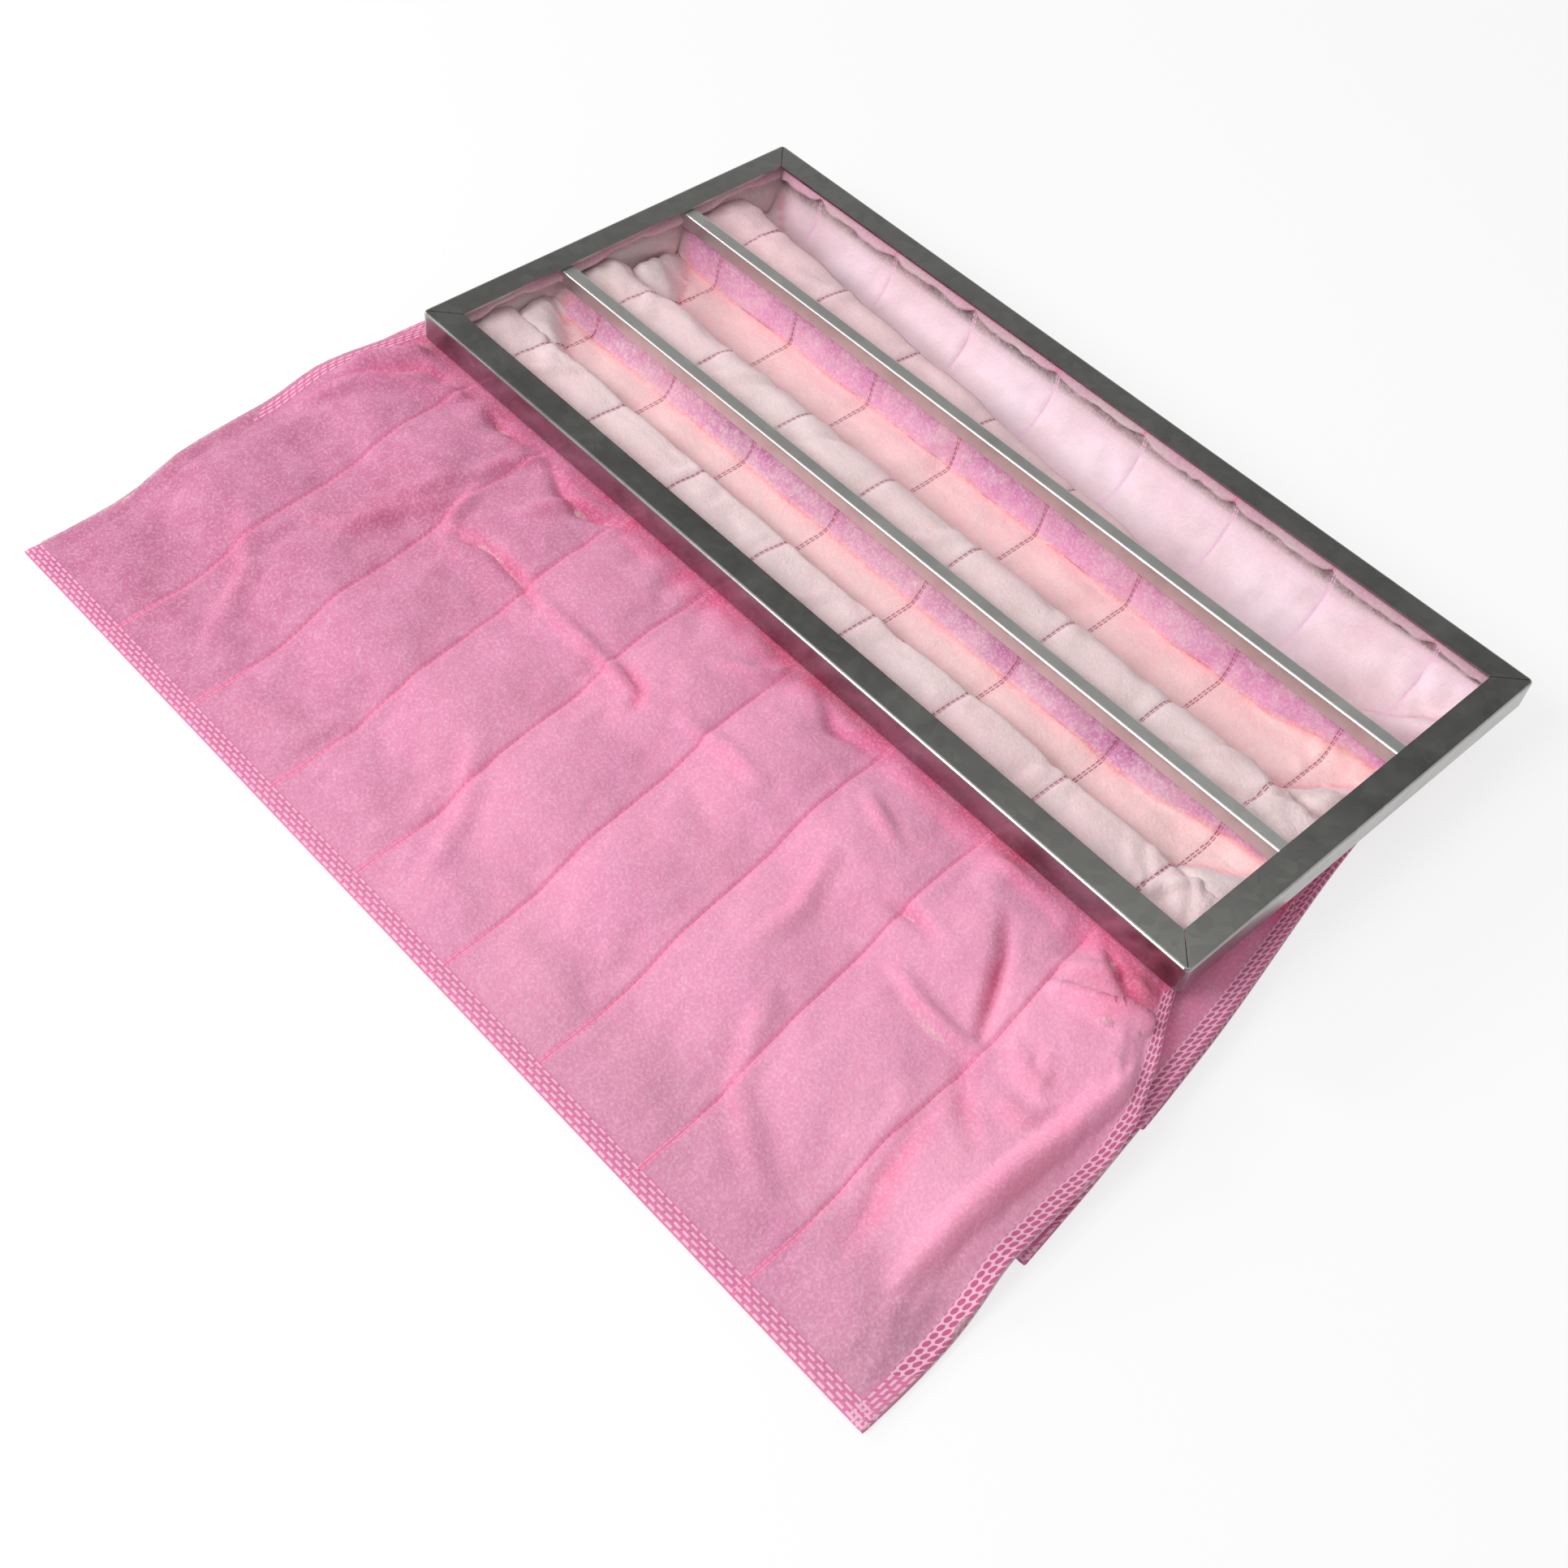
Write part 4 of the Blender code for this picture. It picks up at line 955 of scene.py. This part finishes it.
def galvanised(name, finish):
    # Hot-dip galvanised strip, or drawn wire: a satin grey zinc skin with faint crystals
    material, shader = newMaterial(name)
    shader.inputs["Metallic"].default_value = 1.0
    where = addNode(material, "TexCoord").outputs["Object"]
    inputs = {"Scale": 1 / finish["spangleSize"], "Vector": where}
    crystals = addNode(material, "TexVoronoi", inputs=inputs).outputs["Color"]
    blotch = addNode(material, "TexNoise", inputs={"Scale": 35.0, "Detail": 4.0, "Vector": where})
    base, spangle = ((*hexToLinear(finish[name]), 1) for name in ("base", "spangle"))
    tone = addNode(material, "Mix", {"data_type": "RGBA"}, {0: crystals, 6: base, 7: spangle})
    material.node_tree.links.new(tone.outputs[2], shader.inputs["Base Color"])
    least, most = finish["roughness"] - 0.07, finish["roughness"] + 0.09
    span = {"Value": blotch.outputs[0], "To Min": least, "To Max": most}
    rough = addNode(material, "MapRange", inputs=span)
    material.node_tree.links.new(rough.outputs[0], shader.inputs["Roughness"])
    return material


for name, finish in metalFinishes.items():
    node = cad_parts[name]
    steel = galvanised("drawnSteelWire" if "wire" in name else "galvanisedSteel", finish)
    for slot in range(len(node.data.materials)):
        node.data.materials[slot] = steel
print("materials made")


# Studio: a pale floor, soft lamps and the photograph's viewpoint

studio = {
    "floorHex": "#f6f6f6", "whiteFloor": 0.75, "lowSky": 0.78, "highSky": 0.02, "overhead": 0.90,
    "keyPower": 34.0, "sidePower": 31.0,
}


def raysThatSeeIt(owner):
    # 1 where the background is seen, straight on, mirrored in metal or through glass
    rays = addNode(owner, "LightPath").outputs
    seen = rays["Is Camera Ray"]
    for other in ("Is Glossy Ray", "Is Transmission Ray"):
        seen = addNode(owner, "Math", {"operation": "MAXIMUM"}, {0: seen, 1: rays[other]}).outputs[0]
    return seen


def buildFloor():
    reach, z = 6, -0.0004
    corners = np.array([(-reach, -reach, z), (reach, -reach, z), (reach, reach, z), (-reach, reach, z)])
    mesh = meshFrom("studioFloor", corners, [[0, 1, 2, 3]])
    floor = bpy.data.objects.new("studioFloor", mesh)
    bpy.context.scene.collection.objects.link(floor)
    material, shader = newMaterial("paleFloorPaint")
    shader.inputs["Base Color"].default_value = (*hexToLinear(studio["floorHex"]), 1)
    shader.inputs["Roughness"].default_value = 0.9
    # seen by the camera, most of it is plain white, which keeps a pale shadow
    white = addNode(material, "Emission").outputs[0]
    inputs = {0: raysThatSeeIt(material), 1: studio["whiteFloor"]}
    share = addNode(material, "Math", {"operation": "MULTIPLY"}, inputs).outputs[0]
    blend = addNode(material, "MixShader", inputs={0: share, 1: shader.outputs[0], 2: white})
    material.node_tree.links.new(blend.outputs[0], material.node_tree.nodes["Material Output"].inputs[0])
    mesh.materials.append(material)


def aim(holder, x, y, z, place):
    # turns an object to the axes given and sets it in place
    axes = [np.array(axis) / np.linalg.norm(axis) for axis in (x, y, z)]
    holder.matrix_world = Matrix([[*row, at] for *row, at in zip(*axes, place)] + [[0, 0, 0, 1]])


def addLamp(name, place, target, width, power):
    lamp = bpy.data.lights.new(name, "AREA")
    lamp.shape, lamp.size, lamp.energy = "SQUARE", width, power
    holder = bpy.data.objects.new(name, lamp)
    bpy.context.scene.collection.objects.link(holder)
    z = np.array(place) - np.array(target)
    x = np.cross((0, 0, 1), z)
    aim(holder, x, np.cross(z, x), z, place)


def buildWorld():
    world = bpy.data.worlds.new("studioWorld")
    bpy.context.scene.world = world
    world.use_nodes = True
    where = addNode(world, "TexCoord").outputs["Generated"]
    rise = addNode(world, "SeparateXYZ", inputs={0: where}).outputs[2]

    # bright near the horizon, dark above it and pale overhead, so steel that faces up changes with the view;
    # just above the floor's edge the backdrop is plain white
    bands = [(0.30, 0.73, studio["lowSky"], studio["highSky"]), (0.745, 0.85, 0, studio["overhead"]),
             (0.13, 0.18, 1, 0)]
    side, above, low = (
        addNode(world, "MapRange", inputs=dict(enumerate([rise, *band]))).outputs[0] for band in bands)
    glow = addNode(world, "Math", {"operation": "ADD"}, {0: side, 1: above}).outputs[0]
    white = addNode(world, "Math", {"operation": "MULTIPLY"}, {0: low, 1: raysThatSeeIt(world)}).outputs[0]
    sky = addNode(world, "Math", {"operation": "MAXIMUM"}, {0: glow, 1: white})
    world.node_tree.links.new(sky.outputs[0], world.node_tree.nodes["Background"].inputs[1])
    world.node_tree.nodes["Background"].inputs[0].default_value = (1, 1, 1, 1)


photoCamera = {
    "place": (0.481522, -0.646872, 0.730012), "lens": 2368.38 / 1932 * 36,
    "right": (0.6717579, 0.7361596, 0.0825253), "up": (-0.6155537, 0.4927544, 0.6150503),
    "back": (0.4121104, -0.4639636, 0.7841574),
}


def buildCamera():
    camera = bpy.data.cameras.new("photoCamera")
    camera.sensor_width = 36
    camera.lens = photoCamera["lens"]
    holder = bpy.data.objects.new("photoCamera", camera)
    bpy.context.scene.collection.objects.link(holder)
    place = np.array(photoCamera["place"]) + (middleX, middleY, size.frontZ)
    aim(holder, photoCamera["right"], photoCamera["up"], photoCamera["back"], place)
    bpy.context.scene.camera = holder


buildFloor()
buildWorld()
addLamp("keySoftbox", (-0.55, -1.75, 1.70), (0, -0.1, 0), 1.1, studio["keyPower"])
addLamp("sideSoftbox", (-2.6, -1.1, 1.35), (0, -0.1, 0), 0.9, studio["sidePower"])
buildCamera()
bpy.context.scene.view_settings.view_transform = "Standard"
print("studio built")
